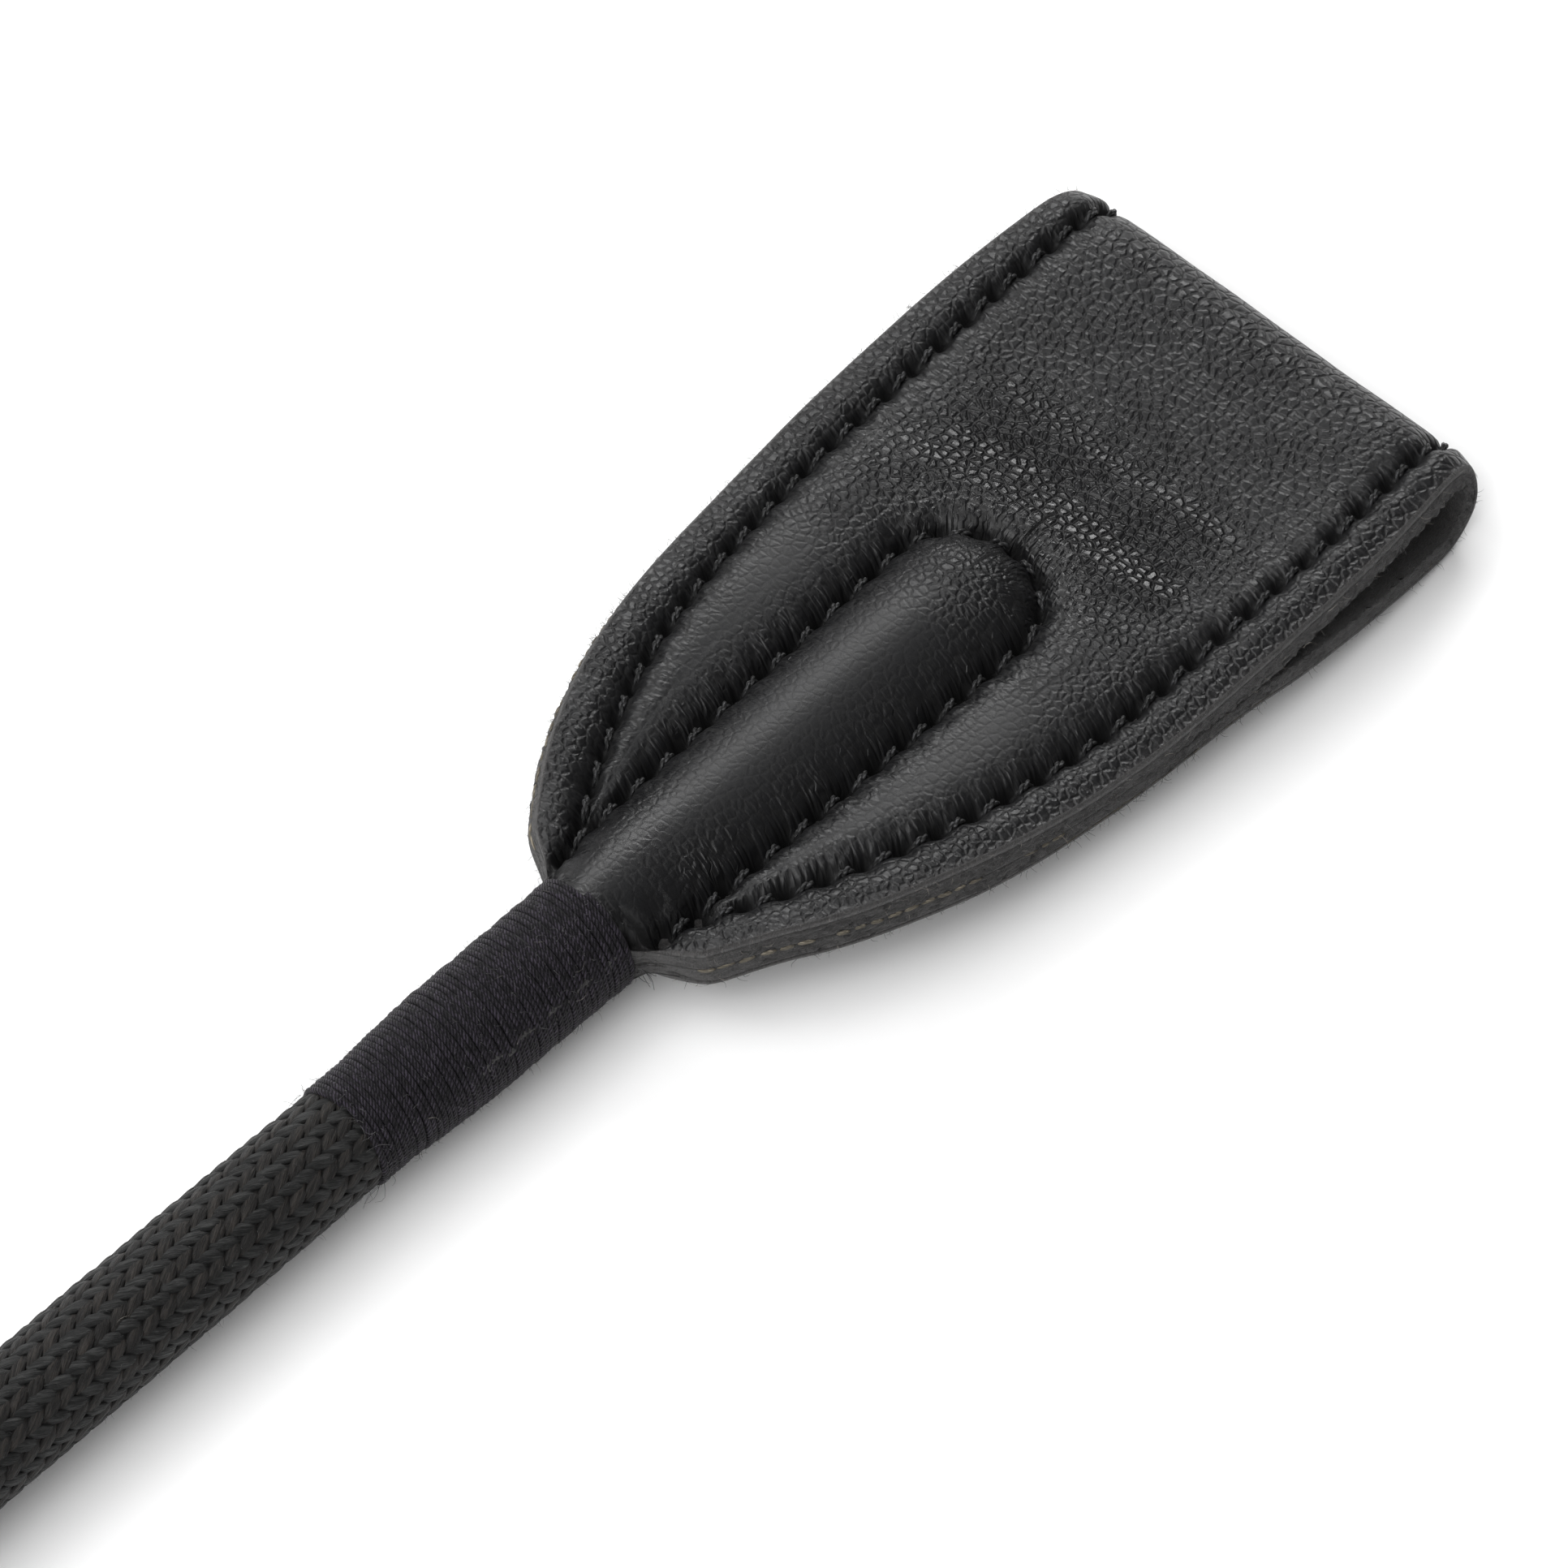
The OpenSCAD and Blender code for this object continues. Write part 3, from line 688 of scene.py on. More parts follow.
def relief(s, y, holes=True):
    """Height of the leather over the base line, at lengths s and distances y from its
    middle: pocket, crowned bands, rolled border and rows of stitches."""
    x, z, _, nz = base_at(s)
    side = np.abs(y)
    w = half_width(x)
    yb = border_y(x)
    yc = channel_y(x)
    on_leaf = step(np.abs(nz), 0.93, 0.99)
    past = np.maximum(x - POCKET_END, 0)
    t = np.hypot(side / yc, past / CHANNEL_END)
    radius = np.interp(x, [WHIP_FRONT, POCKET_END], [4.9, 5.3])
    pocket = (radius - LEAF_T) * np.maximum(1 - t ** 1.9, 0) ** 0.85
    out = np.maximum(t - 1, 0) * 6.5
    inside = yb - side
    fade = 1 - 0.82 * step(x, -38.5, -26)
    crown = 1.6 * fade * (1 - np.exp(-out / 1.7)) * (1 - np.exp(-np.maximum(inside, 0) / 1.7))
    crown *= step(x, WHIP_FRONT - 1, WHIP_FRONT + 3) * on_leaf
    flat = 0.22 * (1 - on_leaf) * (1 - np.exp(-np.maximum(inside, 0) / 1.2))
    upper = z > 0
    fold = (
        0.22 * bell(x + 28.8 + 0.10 * y + 0.7 * wobble(y, 3, 24), 1.5)
        - 0.22 * bell(x + 24.6 - 0.05 * y + 0.8 * wobble(y, 4, 22), 1.4)
        + 0.17 * bell(x + 20.6 - 0.02 * y + 0.8 * wobble(y, 5, 26), 1.2)
        - 0.08 * bell(x + 17.6 - 0.02 * y, 1.3)
    )
    fold *= np.exp(-np.maximum(side - 11, 0) / 3.0) * np.minimum(out, 1)
    fold = np.where(upper, fold, 0.5 * fold) * on_leaf
    valley = 0.75 * bell(x + 18 + 0.06 * y, 7.0) * (1 - np.exp(-np.maximum(inside, 0) / 3.0))
    fold = fold - np.where(upper, valley, 0.3 * valley) * on_leaf
    swell = 0.07 * wobble(x + 0.7 * y, 11, 30) + 0.05 * wobble(y - 0.4 * x, 12, 17)
    swell *= np.minimum(out / 2, 1)
    edge = w + edge_out(s, 0.0) - side
    outside = np.maximum(side - yb, 0)
    margin = 0.40 * (1 - np.exp(-outside / 0.8)) * step(edge, 0, 2.4)
    margin -= 0.22 * np.maximum(1 - edge / 3.2, 0) ** 2
    rim = np.clip(1 - edge / 0.35, 0, 1)
    margin -= 0.16 * (1 - np.sqrt(np.maximum(1 - rim ** 2, 0)))
    margin *= step(x, WHIP_FRONT - 1, WHIP_FRONT + 3)
    height = pocket + crown + flat + fold + swell + margin
    if holes:
        border, border_along, channel, channel_along = rows_near(s, y)
        height -= seam(border, border_along)
        height -= seam(channel, channel_along, 1.1) * on_leaf
    return height


def sunk(s, y):
    """How far the layers under the leather are pulled down beside the rows of stitches."""
    border, _, channel, _ = rows_near(s, y)
    on_leaf = step(np.abs(base_at(s)[3]), 0.93, 0.99)
    return 1.5 * np.maximum(bell(border, 1.7), bell(channel, 1.7) * on_leaf)


def wing(x, y):
    """How far the flap's edges curl up on both sides of the neck."""
    w = half_width(x)
    yc = channel_y(x)
    share = np.clip((np.abs(y) - yc) / (w - yc + 0.01), 0, 1.2)
    rise = step(x, WHIP_FRONT, -71) * (1 - 0.85 * step(x, -64, -42))
    return (1.9 * rise * (1 - step(x, -34, -24)) + 0.25 * step(x, -34, -24)) * share ** 1.4


def strip_place(s, y, h):
    """Point at height h over the strip's base line."""
    x, z, nx, nz = base_at(s)
    return vec(x + nx * h, y + skew(x), z + nz * h + wing(x, y))


def strip_point(s, y, lift=0.0, holes=True):
    """Point on the leather at length s and distance y from the middle, lifted off it."""
    return strip_place(s, y, relief(s, y, holes) + lift)


def strip_normal(s):
    """Direction square to the strip's base line."""
    _, _, nx, nz = base_at(s)
    return vec(nx, 0, nz)


def column_shares(s):
    """Distances from the middle of the strip's columns, closer together at the rows."""
    x = base_at(s)[0]
    yb = border_y(x)
    w = half_width(x) + edge_out(s, 0.0)
    yc = np.minimum(channel_y(x), yb - 0.9)
    knots = vec(0, yc - 0.85, yc + 0.85, yb - 0.8, yb + 0.8, w - 0.5, w)
    for k in range(1, 7):
        knots[:, k] = np.maximum(knots[:, k], knots[:, k - 1] + 0.05)
    knots = np.minimum(knots, w[:, None])
    counts = (20, 8, 14, 8, 6, 4)
    cols = [np.zeros((len(x), 1))]
    for k, n in enumerate(counts):
        t = (np.arange(n) + 1)[None] / n
        cols.append(knots[:, k:k + 1] * (1 - t) + knots[:, k + 1:k + 2] * t)
    return np.concatenate(cols, 1)


def grain_map(s, y):
    """Place of a point on the grain, in mm: the cells are wider near the fold, and drawn
    out square to the rows of stitches."""
    x = base_at(s)[0]
    end = np.exp(-((s - FOLD_MID) / 13.0) ** 2)
    run = s - 0.28 * 11.5 * np.tanh((s - FOLD_MID) / 11.5)
    across = y * (1 - 0.16 * end)
    inside = border_y(x) - np.abs(y)
    pulled = 0.5 * np.exp(-np.abs(inside) / 1.6)
    across = across + np.sign(y) * pulled * np.sign(inside) * np.minimum(np.abs(inside), 1)
    return vec(run, across, 0)


def row_map(s, y):
    """Place of a point along and across the nearest row of stitches, in mm, how much that
    row draws the grain out, and the painted shade of its needle holes."""
    border, border_along, channel, channel_along = rows_near(s, y)
    first = np.abs(border) < channel
    run = np.where(first, border_along, channel_along + 700)
    across = np.where(first, border, channel + 40)
    inner = np.where(border > 0, 0.45, 1.0)
    drawn = inner * np.exp(-((np.abs(border) / 2.8) ** 2)) + np.exp(-((channel / 3.2) ** 2))
    run = run + 300 * (y < 0)
    apart = np.abs(np.abs(border) - channel)
    drawn = drawn * (1 - 0.9 * bell(apart, 1.0))
    pit = np.maximum(hole_shade_at(border, border_along), hole_shade_at(channel, channel_along))
    return vec(run, across, 0), np.clip(drawn, 0, 1), pit


def flap_skin():
    """The leather: one strip over the flap, round the fold and back under it, with its
    inner face, cut edges and ends."""
    front = join(np.arange(0, 18, 0.75), np.arange(18, RUN_L / 2 - 40, 0.33))
    to_fold = np.linspace(front[-1] + 0.33, FOLD_MID, int((FOLD_MID - front[-1]) / 0.33))
    back = np.arange(FOLD_MID + 0.36, RUN_L - TUCK, 0.36)
    s = join(front, to_fold, back, np.arange(RUN_L - TUCK, RUN_L, 0.8))
    half = column_shares(s)
    y = np.concatenate([-half[:, :0:-1], half], 1)
    rows_n, cols_n = y.shape
    ss = np.repeat(s[:, None], cols_n, 1)
    flat_s, flat_y = ss.ravel(), y.ravel()
    outer = strip_point(flat_s, flat_y)
    pts = [outer]
    coords = [grain_map(flat_s, flat_y)]
    row_coords, drawn, pit = row_map(flat_s, flat_y)
    xx = base_at(flat_s)[0]
    wide = half_width(xx)
    top = (base_at(flat_s)[3] > 0.5)
    shine = bell(xx + 26, 8) * top * step(np.abs(flat_y), 17, 8)
    shine = shine + 0.8 * bell(xx + 74, 6) * step(np.abs(flat_y), 9, 3)
    wear = 0.8 * bell(wide - np.abs(flat_y), 0.5)
    quads = [grid_quads(rows_n, cols_n)]
    cut = np.zeros((rows_n - 1, cols_n - 1), int)
    cut[:, :2] = 1
    cut[:, -2:] = 1
    slots = [cut.ravel()]
    under_y = np.concatenate([y[:, :1], y[:, 4:-4:5], y[:, -1:]], 1)
    under_cols = under_y.shape[1]
    us = np.repeat(s[:, None], under_cols, 1).ravel()
    under = strip_point(us, under_y.ravel(), -SKIN_T - sunk(us, under_y.ravel()), holes=False)
    start = len(outer)
    pts.append(under)
    coords.append(grain_map(us, under_y.ravel()))
    quads.append(grid_quads(rows_n, under_cols, start)[:, ::-1])
    slots.append(np.ones(len(quads[-1]), int))
    for edge, sign in ((0, 1), (cols_n - 1, -1)):
        a = np.arange(rows_n) * cols_n + edge
        b = start + np.arange(rows_n) * under_cols + (0 if edge == 0 else under_cols - 1)
        q = vec(a[:-1], b[:-1], b[1:], a[1:])
        quads.append(q[:, ::sign])
        slots.append(np.ones(len(q), int))
    picks = [0] + list(range(4, cols_n - 4, 5)) + [cols_n - 1]
    ends = []
    for row, way in ((0, 1), (rows_n - 1, -1)):
        lower = start + row * under_cols
        for k in range(under_cols - 1):
            ring = [row * cols_n + j for j in range(picks[k], picks[k + 1] + 1)]
            ring += [lower + k + 1, lower + k]
            ends.append(np.array([ring[::way]]))
    n_under = len(under)
    inside = border_y(xx) - np.abs(flat_y)
    calm = (1 - drawn) * step(xx, -36, -46) * step(inside, 0.3, 1.5)
    # pit carries the painted shade of the needle holes, and their dullness.
    masks = {"calm": calm, "pit": pit, "shine": shine, "wear": wear, "drawn": drawn}
    masks = {key: join(m, np.zeros(n_under)) for key, m in masks.items()}
    rows = join(row_coords, np.zeros((n_under, 3)))
    return build("flap_skin", np.concatenate(pts), np.concatenate(quads), ends,
                 coords=np.concatenate(coords), masks=masks, materials=(LEATHER, CUT_EDGE),
                 slots=np.concatenate(slots), rows=rows)


def felt_depth(s):
    """How far below the base line the leaf's inner face lies. The leaves meet at z = 0 and
    part where the fold opens."""
    x, z, _, _ = base_at(s)
    open_end = step(x, -27.5, -22)
    return np.abs(z) * (1 - open_end) + (LEAF_T + 0.25) * open_end


def flap_felt():
    """The felt behind the leather: it fills the leaf down to the seam, and leaves room for
    the rod in the pocket. Its cut edge is rough."""
    s = join(np.arange(0, TUCK, 1.0), np.arange(TUCK, RUN_L - TUCK, 0.4),
             np.arange(RUN_L - TUCK, RUN_L, 1.0))
    x = base_at(s)[0]
    share = np.linspace(-1, 1, 27)
    levels = 8
    rng = np.random.default_rng(21)
    depth = felt_depth(s) - SEAM_GAP
    top_y = felt_edge(s, 0.0)
    ring_y, ring_h = [], []
    for k in share:
        ring_y.append(k * top_y)
        y = k * (top_y - 0.04)
        drop = sunk(s, y) * (abs(k) < 0.99)
        ring_h.append(relief(s, y, holes=False) - SKIN_T - 0.01 - 1.1 * drop)
    rim = ring_h[-1]
    sides = []
    for k in range(1, levels):
        f = k / levels
        rough = 0.07 * rng.normal(0, 1, len(s)) + 0.06 * wobble(s, 80 + k, 2.5)
        sides.append((felt_edge(s, f) + rough, rim * (1 - f) - depth * f))
    for y, h in sides:
        ring_y.append(y)
        ring_h.append(h)
    for k in share[::-1]:
        y = k * (felt_edge(s, 1.0) - 0.05)
        room = np.sqrt(np.maximum(ROOM_R ** 2 - y ** 2, 0)) * step(x, ROOM_END, ROOM_END - 1.2)
        most = relief(s, y, False) - SKIN_T - 0.15
        ring_y.append(y)
        ring_h.append(np.maximum(-depth, np.minimum(room - LEAF_T, most)))
    for y, h in sides[::-1]:
        rough = 0.07 * rng.normal(0, 1, len(s))
        ring_y.append(-y + rough)
        ring_h.append(h)
    ring_y = np.stack(ring_y, 1)
    ring_h = np.stack(ring_h, 1)
    m = ring_y.shape[1]
    ring_s = np.repeat(s[:, None], m, 1)
    pts = strip_place(ring_s.ravel(), ring_y.ravel(), ring_h.ravel())
    quads = grid_quads(len(s), m, wrap=True)
    caps = [np.arange(m)[None], (len(s) - 1) * m + np.arange(m)[::-1][None]]
    coords = vec(ring_s.ravel(), ring_y.ravel(), ring_h.ravel())
    return build("flap_felt", pts, quads, caps, coords, materials=(FELT,))


def edge_dashes():
    """Pale threads along the cut edge: the seam between the leaves near the whipping, and
    the backing of the lower leaf, which comes into view where the fold opens."""
    rng = np.random.default_rng(5)
    lines = []
    neck = RUN_L - 18.0
    for side in (-1, 1):
        for share, low, high, size, dash in (
            (0.97, neck - 30, neck - 1.5, 0.16, 0.85),
            (0.36, FOLD_MID + 5, neck - 24, 0.055, 0.93),
            (0.42, neck - 36, neck - 4, 0.06, 0.5),
        ):
            at = low
            while at < high:
                length = rng.uniform(0.8, 1.35)
                if rng.uniform() < dash:
                    s = np.linspace(at, at + length, 6)
                    h = -share * felt_depth(s) + rng.normal(0, 0.03)
                    h = h + 0.04 * rng.normal() * np.linspace(-1, 1, 6)
                    y = side * (felt_edge(s, share) + 0.03 + rng.normal(0, 0.025))
                    line = strip_place(s, y, h)
                    lines.append((line, strip_normal(s), size * rng.uniform(0.75, 1.15)))
                at += length + rng.uniform(0.1, 0.4) * (1.0 if size > 0.1 else 0.1)
    centres = np.stack([a for a, _, _ in lines])
    ups = np.stack([b for _, b, _ in lines])
    sizes = np.array([c for _, _, c in lines])[:, None] * np.array((0.35, 0.9, 1, 1, 0.9, 0.35))
    pts, quads, caps = loft(centres, ups, circle(6), sizes)
    u = np.tile(np.repeat(np.linspace(0, 1.1, 6), 6), len(lines))
    v = np.tile(np.arange(6) / 3.0, len(lines) * 6)
    k = np.repeat(np.arange(len(lines)), 36) * 3.7
    return build("flap_backing_threads", pts, quads, caps, vec(u, v, k), materials=(BACKING,))


def edge_fuzz():
    """Fibres standing off the cut edges."""
    rng = np.random.default_rng(9)
    made = []
    for name, material, count, length, radius, seed in (
        ("dark", DARK_HAIR, 1500, 0.75, 0.022, 31), ("pale", PALE_HAIR, 210, 1.0, 0.017, 32),
    ):
        s = rng.uniform(17.5, RUN_L - 17.5, count)
        side = np.where(rng.uniform(size=count) < 0.5, -1.0, 1.0)
        share = rng.uniform(0.1, 1.0, count)
        h = -share * (felt_depth(s) - 0.05)
        y = side * (felt_edge(s, share) - 0.02)
        root = strip_place(s, y, h)
        slope = np.gradient(half_width(RUN_LINE[:1600, 0]), RUN_LINE[:1600, 0])
        turn = np.interp(base_at(s)[0], RUN_LINE[:1600, 0], slope)
        away = unit(vec(-turn, side, 0))
        slide = rng.uniform(-1.2, 1.2, (count, 1)) * np.array((1.0, 0, 0))
        aim = unit(0.55 * away + 0.18 * strip_normal(s) + slide * 0.7)
        made.append(hair_piece(f"flap_edge_fibres_{name}", material,
                               hairs(root, aim, length, radius, seed)))
    return made


def two_ply(name, base, normal):
    """Stitches of two plies twisted together. base and normal are (count, n, 3): each
    stitch's line on the leather. Its ends dip into the needle's holes."""
    count, n = base.shape[:2]
    t = np.linspace(0, 1, n)[None]
    arch = 0.10 + 0.35 * np.sqrt(np.sin(np.pi * np.clip(t, 0.001, 0.999))) - 0.5
    dip = 0.75 * bell(t, 0.15) + 0.75 * bell(t - 1.0, 0.15)
    centres = base + normal * (arch - dip)[..., None]
    side, up = frames(centres, normal)
    made = []
    rng = np.random.default_rng(len(name))
    phase = rng.uniform(0, 2 * math.pi, (count, 1))
    for ply in (0, 1):
        a = 2 * math.pi * 1.2 * t + math.pi * ply + phase
        line = centres + 0.15 * (np.cos(a)[..., None] * side + np.sin(a)[..., None] * up)
        thick = 0.18 * (1 - 0.25 * np.abs(2 * t - 1) ** 3) * np.ones((count, 1))
        p, q, c = loft(line, up, circle(6), thick)
        u = np.repeat(np.broadcast_to(t * 2.6, (count, n)).ravel(), 6)
        v = np.tile(np.arange(6) / 6.0, count * n)
        k = np.repeat(np.arange(count), n * 6) * 2.3
        made.append((p, q, c, vec(u, v, k)))
    return build(name, *join_parts(made), materials=(SEWING,))


def stitch_threads(name, s, y):
    """Stitches on the flap. s and y are (count, n)."""
    count, n = s.shape
    base = strip_point(s.ravel(), y.ravel(), 0.0, holes=False).reshape(count, n, 3)
    return two_ply(name, base, strip_normal(s.ravel()).reshape(count, n, 3))


def border_stitches():
    """The rows beside both edges of the strip."""
    first = np.interp(FIRST_STITCH, STITCH_RUN, BORDER_RUN)
    last = np.interp(RUN_L - FIRST_STITCH, STITCH_RUN, BORDER_RUN)
    k = np.arange(math.ceil(first / STITCH), math.floor(last / STITCH))
    s = np.interp((k[:, None] + REACH) * STITCH, BORDER_RUN, STITCH_RUN)
    y = border_y(base_at(s.ravel())[0].reshape(s.shape))
    return stitch_threads("flap_border_stitches", join(s, s), join(y + SLANT, -y + SLANT))


def channel_stitches():
    """The U-shaped row round the pocket, on the upper leaf and on the lower one."""
    k = np.arange(1, math.floor(CHANNEL_RUN[-1] / STITCH))
    at = (k[:, None] + REACH) * STITCH
    x = np.interp(at, CHANNEL_RUN, CHANNEL[:, 0])
    y = np.interp(at, CHANNEL_RUN, CHANNEL[:, 1])
    dx = np.gradient(x, axis=1)
    dy = np.gradient(y, axis=1)
    size = np.hypot(dx, dy)
    x = x - dy / size * SLANT
    y = y + dx / size * SLANT
    ahead = RUN < FOLD_MID - 20
    behind = RUN > FOLD_MID + 20
    front = np.interp(x.ravel(), RUN_LINE[ahead, 0], RUN[ahead]).reshape(x.shape)
    back = np.interp(x.ravel(), RUN_LINE[behind, 0][::-1], RUN[behind][::-1]).reshape(x.shape)
    return stitch_threads("flap_channel_stitches", join(front, back), join(y, y))


# ---------------------------------------------------------------- whippings

def winding(profile, pitch, thick, per_turn=44, sides=8, seed=1, lean=0.0):
    """One thread wound round the axis from one end of the profile to the other. profile is
    [x, radius] points; lean slants the turns."""
    profile = np.asarray(profile, float)
    length = profile[-1, 0] - profile[0, 0]
    turns = int(length / pitch)
    n = turns * per_turn
    a = np.linspace(0, turns * 2 * math.pi, n)
    rng = np.random.default_rng(seed)
    knots = np.cumsum(rng.uniform(0.35, 1.3, 3 * turns))
    jitter = np.interp(a / (2 * math.pi), knots, rng.normal(0, 1, len(knots)))
    jitter = np.convolve(np.pad(jitter, 8, mode="edge"), np.full(17, 1 / 17), "valid")
    ripple = wobble(a / (2 * math.pi), seed + 3, 0.9)
    x = profile[0, 0] + pitch * 0.5 + (length - pitch) * np.linspace(0, 1, n)
    x = x + 0.05 * jitter + 0.03 * ripple + lean * np.sin(a - 0.6)
    ends = np.minimum(x - profile[0, 0], profile[-1, 0] - x)
    x = np.clip(x, profile[0, 0] + thick, profile[-1, 0] - thick * 0.6)
    r = np.interp(x, profile[:, 0], profile[:, 1]) - thick
    r = r + 0.035 * jitter * np.clip(ends, 0, 1) + 0.02 * ripple
    centres = round_axis(x, r, a)[None]
    out = round_axis(0, 1, a)[None]
    p, q, c = loft(centres, out, circle(sides), np.full((1, n), thick))
    along = np.repeat(a * r.mean(), sides)
    around = np.tile(np.arange(sides) / sides * 2 * math.pi * thick, n)
    core_x = np.linspace(profile[0, 0] + thick, profile[-1, 0] - thick, max(int(length / 1.2), 4))
    core_r = np.interp(core_x, profile[:, 0], profile[:, 1]) - thick * 1.25
    inner_r = core_r - 0.15
    b = np.arange(48) * 2 * math.pi / 48
    rings = join(*[round_axis(xx[:, None], rr[:, None], b)
                   for rr, xx in ((core_r, core_x), (inner_r[::-1], core_x[::-1]))])
    cp = rings.reshape(-1, 3)
    cq = grid_quads(len(rings) + 1, 48, wrap=True) % len(cp)
    return join_parts([(p, q, c, vec(along, around, 0)), (cp, cq, [], cp)])


def surface_hairs(x0, x1, radius_at, count, length, thick, seed, aim=(0, 0, 0)):
    """Short hairs that lie about on a round surface, between x0 and x1."""
    rng = np.random.default_rng(seed)
    x = rng.uniform(x0, x1, count)
    a = rng.uniform(0, 2 * math.pi, count)
    root = round_axis(x, radius_at(x), a)
    out = round_axis(0, 1, a)
    along = rng.uniform(-1, 1, (count, 1)) * np.array((1.0, 0, 0))
    spin = np.cross(out, np.array((1.0, 0, 0))) * rng.uniform(-1, 1, (count, 1))
    way = unit(0.35 * out + 0.7 * spin + 0.5 * along + np.array(aim, float))
    return hairs(root, way, length, thick, seed + 1, bend=0.5)


TIP_WHIP = [(-107.2, 4.68), (-104, 4.62), (-99, 4.95), (-96, 5.12), (-86, 5.1), (-80, 5.2)]


def tip_whipping():
    """The winding of the flap's neck, its loose fibres and the cut end of its thread."""
    whip = build("tip_whipping_thread", *winding(TIP_WHIP, 0.52, 0.295, seed=2, lean=0.35),
                 materials=(WINDING,))
    prof = np.array(TIP_WHIP)
    radius = lambda x: np.interp(x, prof[:, 0], prof[:, 1]) - 0.05
    fuzz = surface_hairs(-107, -80, radius, 900, 0.8, 0.018, 41)
    loose = surface_hairs(-107.2, -106, radius, 60, 2.0, 0.022, 43, aim=(-1.4, 0, 0))
    hair = hair_piece("tip_whipping_fuzz", DARK_HAIR, fuzz, loose)
    pale_hair = hair_piece("tip_whipping_pale_fuzz", PALE_HAIR,
                           surface_hairs(-106, -81, radius, 36, 1.3, 0.014, 45))
    rng = np.random.default_rng(47)
    count = 46
    root = np.array((-79.9, -4.75, -0.6)) + rng.normal(0, 0.28, (count, 3)) * (0.6, 0.7, 1.0)
    aim = np.broadcast_to(np.array((0.75, -0.55, -0.45)), (count, 3))
    tuft = hair_piece("tip_whipping_tail", DARK_HAIR,
                      hairs(root, aim, 2.2, 0.05, 48, bend=0.35))
    return whip, [hair, pale_hair, tuft]


# ---------------------------------------------------------------- braid

BRAID_N = 28
BRAID_PITCH = 1.7
BRAID_REAR = -457.0
BRAID_FRONT = -103.0
# The yarns are drawn in finer steps in front of FINE_FROM
FINE_FROM = -165.0
YARN_HALF_W = 0.58
YARN_T = 0.5


def braid_radius(x):
    """Radius of the braid at x, which narrows under the whipping."""
    r = np.interp(x, [-150, -130, -112, -107.5, -105.5, -103], [4.37, 4.33, 4.22, 4.12, 4.0, 3.9])
    return r + 0.03 * wobble(x, 17, 9)


def braid_yarns(direction):
    """The yarns laid one way round. Each passes over two yarns and under two."""
    lead = BRAID_PITCH * BRAID_N
    fine = np.arange(BRAID_FRONT, FINE_FROM, -0.36)
    rough = np.arange(FINE_FROM, BRAID_REAR, -0.66)
    x = join(fine, rough)[::-1]
    n = len(x)
    k = np.arange(BRAID_N)[:, None]
    rng = np.random.default_rng(60 + direction)
    a = direction * 2 * math.pi * x[None] / lead + 2 * math.pi * k / BRAID_N
    a = a + 0.012 * np.sin(x[None] * 0.8 + rng.uniform(0, 6.28, (BRAID_N, 1)))
    columns = a * BRAID_N / (2 * math.pi)
    lift = np.tanh(3.0 * np.sin(columns * math.pi)) * direction / math.tanh(3.0)
    r = braid_radius(x)[None] + 0.14 * lift
    centres = round_axis(x, r, a)
    top = [(1.0, -0.36), (0.78, 0.14), (0.0, 0.30), (-0.78, 0.14), (-1.0, -0.36)]
    section = np.array([(u * YARN_HALF_W, v * YARN_T) for u, v in top])
    squeeze = np.repeat(1 + 0.05 * rng.normal(0, 1, (BRAID_N, 1)), n, 1)
    p, q, c = loft(centres, round_axis(0, 1, a), section, squeeze)
    m = len(section)
    along = np.repeat(np.broadcast_to(x / 0.87, (BRAID_N, n)).ravel(), m)
    # across also places the painted shade at each yarn's edges.
    across = np.tile(section[:, 0], BRAID_N * n)
    own = np.repeat(np.arange(BRAID_N) * 7.3 + (0 if direction > 0 else 400), n * m)
    coords = vec(along, across, own)
    name, material = ("right", YARN_WARM) if direction > 0 else ("left", YARN_COOL)
    return build(f"braid_yarns_{name}", p, q, c, coords, materials=(material,))


def braid_fuzz():
    """Loose filaments of the braid."""
    near = surface_hairs(-170, -106, lambda x: braid_radius(x) + 0.15, 420, 0.8, 0.014, 71)
    far = surface_hairs(-445, -170, lambda x: braid_radius(x) + 0.15, 500, 0.8, 0.014, 73)
    pale = surface_hairs(-440, -108, lambda x: braid_radius(x) + 0.12, 110, 1.3, 0.013, 75)
    return [hair_piece("braid_fuzz", DARK_HAIR, near, far),
            hair_piece("braid_pale_fuzz", PALE_HAIR, pale)]


# ---------------------------------------------------------------- grip

BUTT_X = -CROP_L
SHAFT_REAR = BUTT_X + 18
CAP_FRONT = BUTT_X + 30
GRIP_FRONT = BUTT_X + 190
GRIP_SHOULDER = GRIP_FRONT - 12
COVER_T = 1.1
SEAM_FROM = CAP_FRONT + 15
LAP_AT = 2.0


def cover_radius(x):
    """Radius of the grip at x."""
    spread = np.linspace(-2, 2, 9)[:, None]
    r = np.interp(x[None] + spread, [SHAFT_REAR, GRIP_SHOULDER, GRIP_FRONT], [10, 8, 6])
    return r.mean(0)


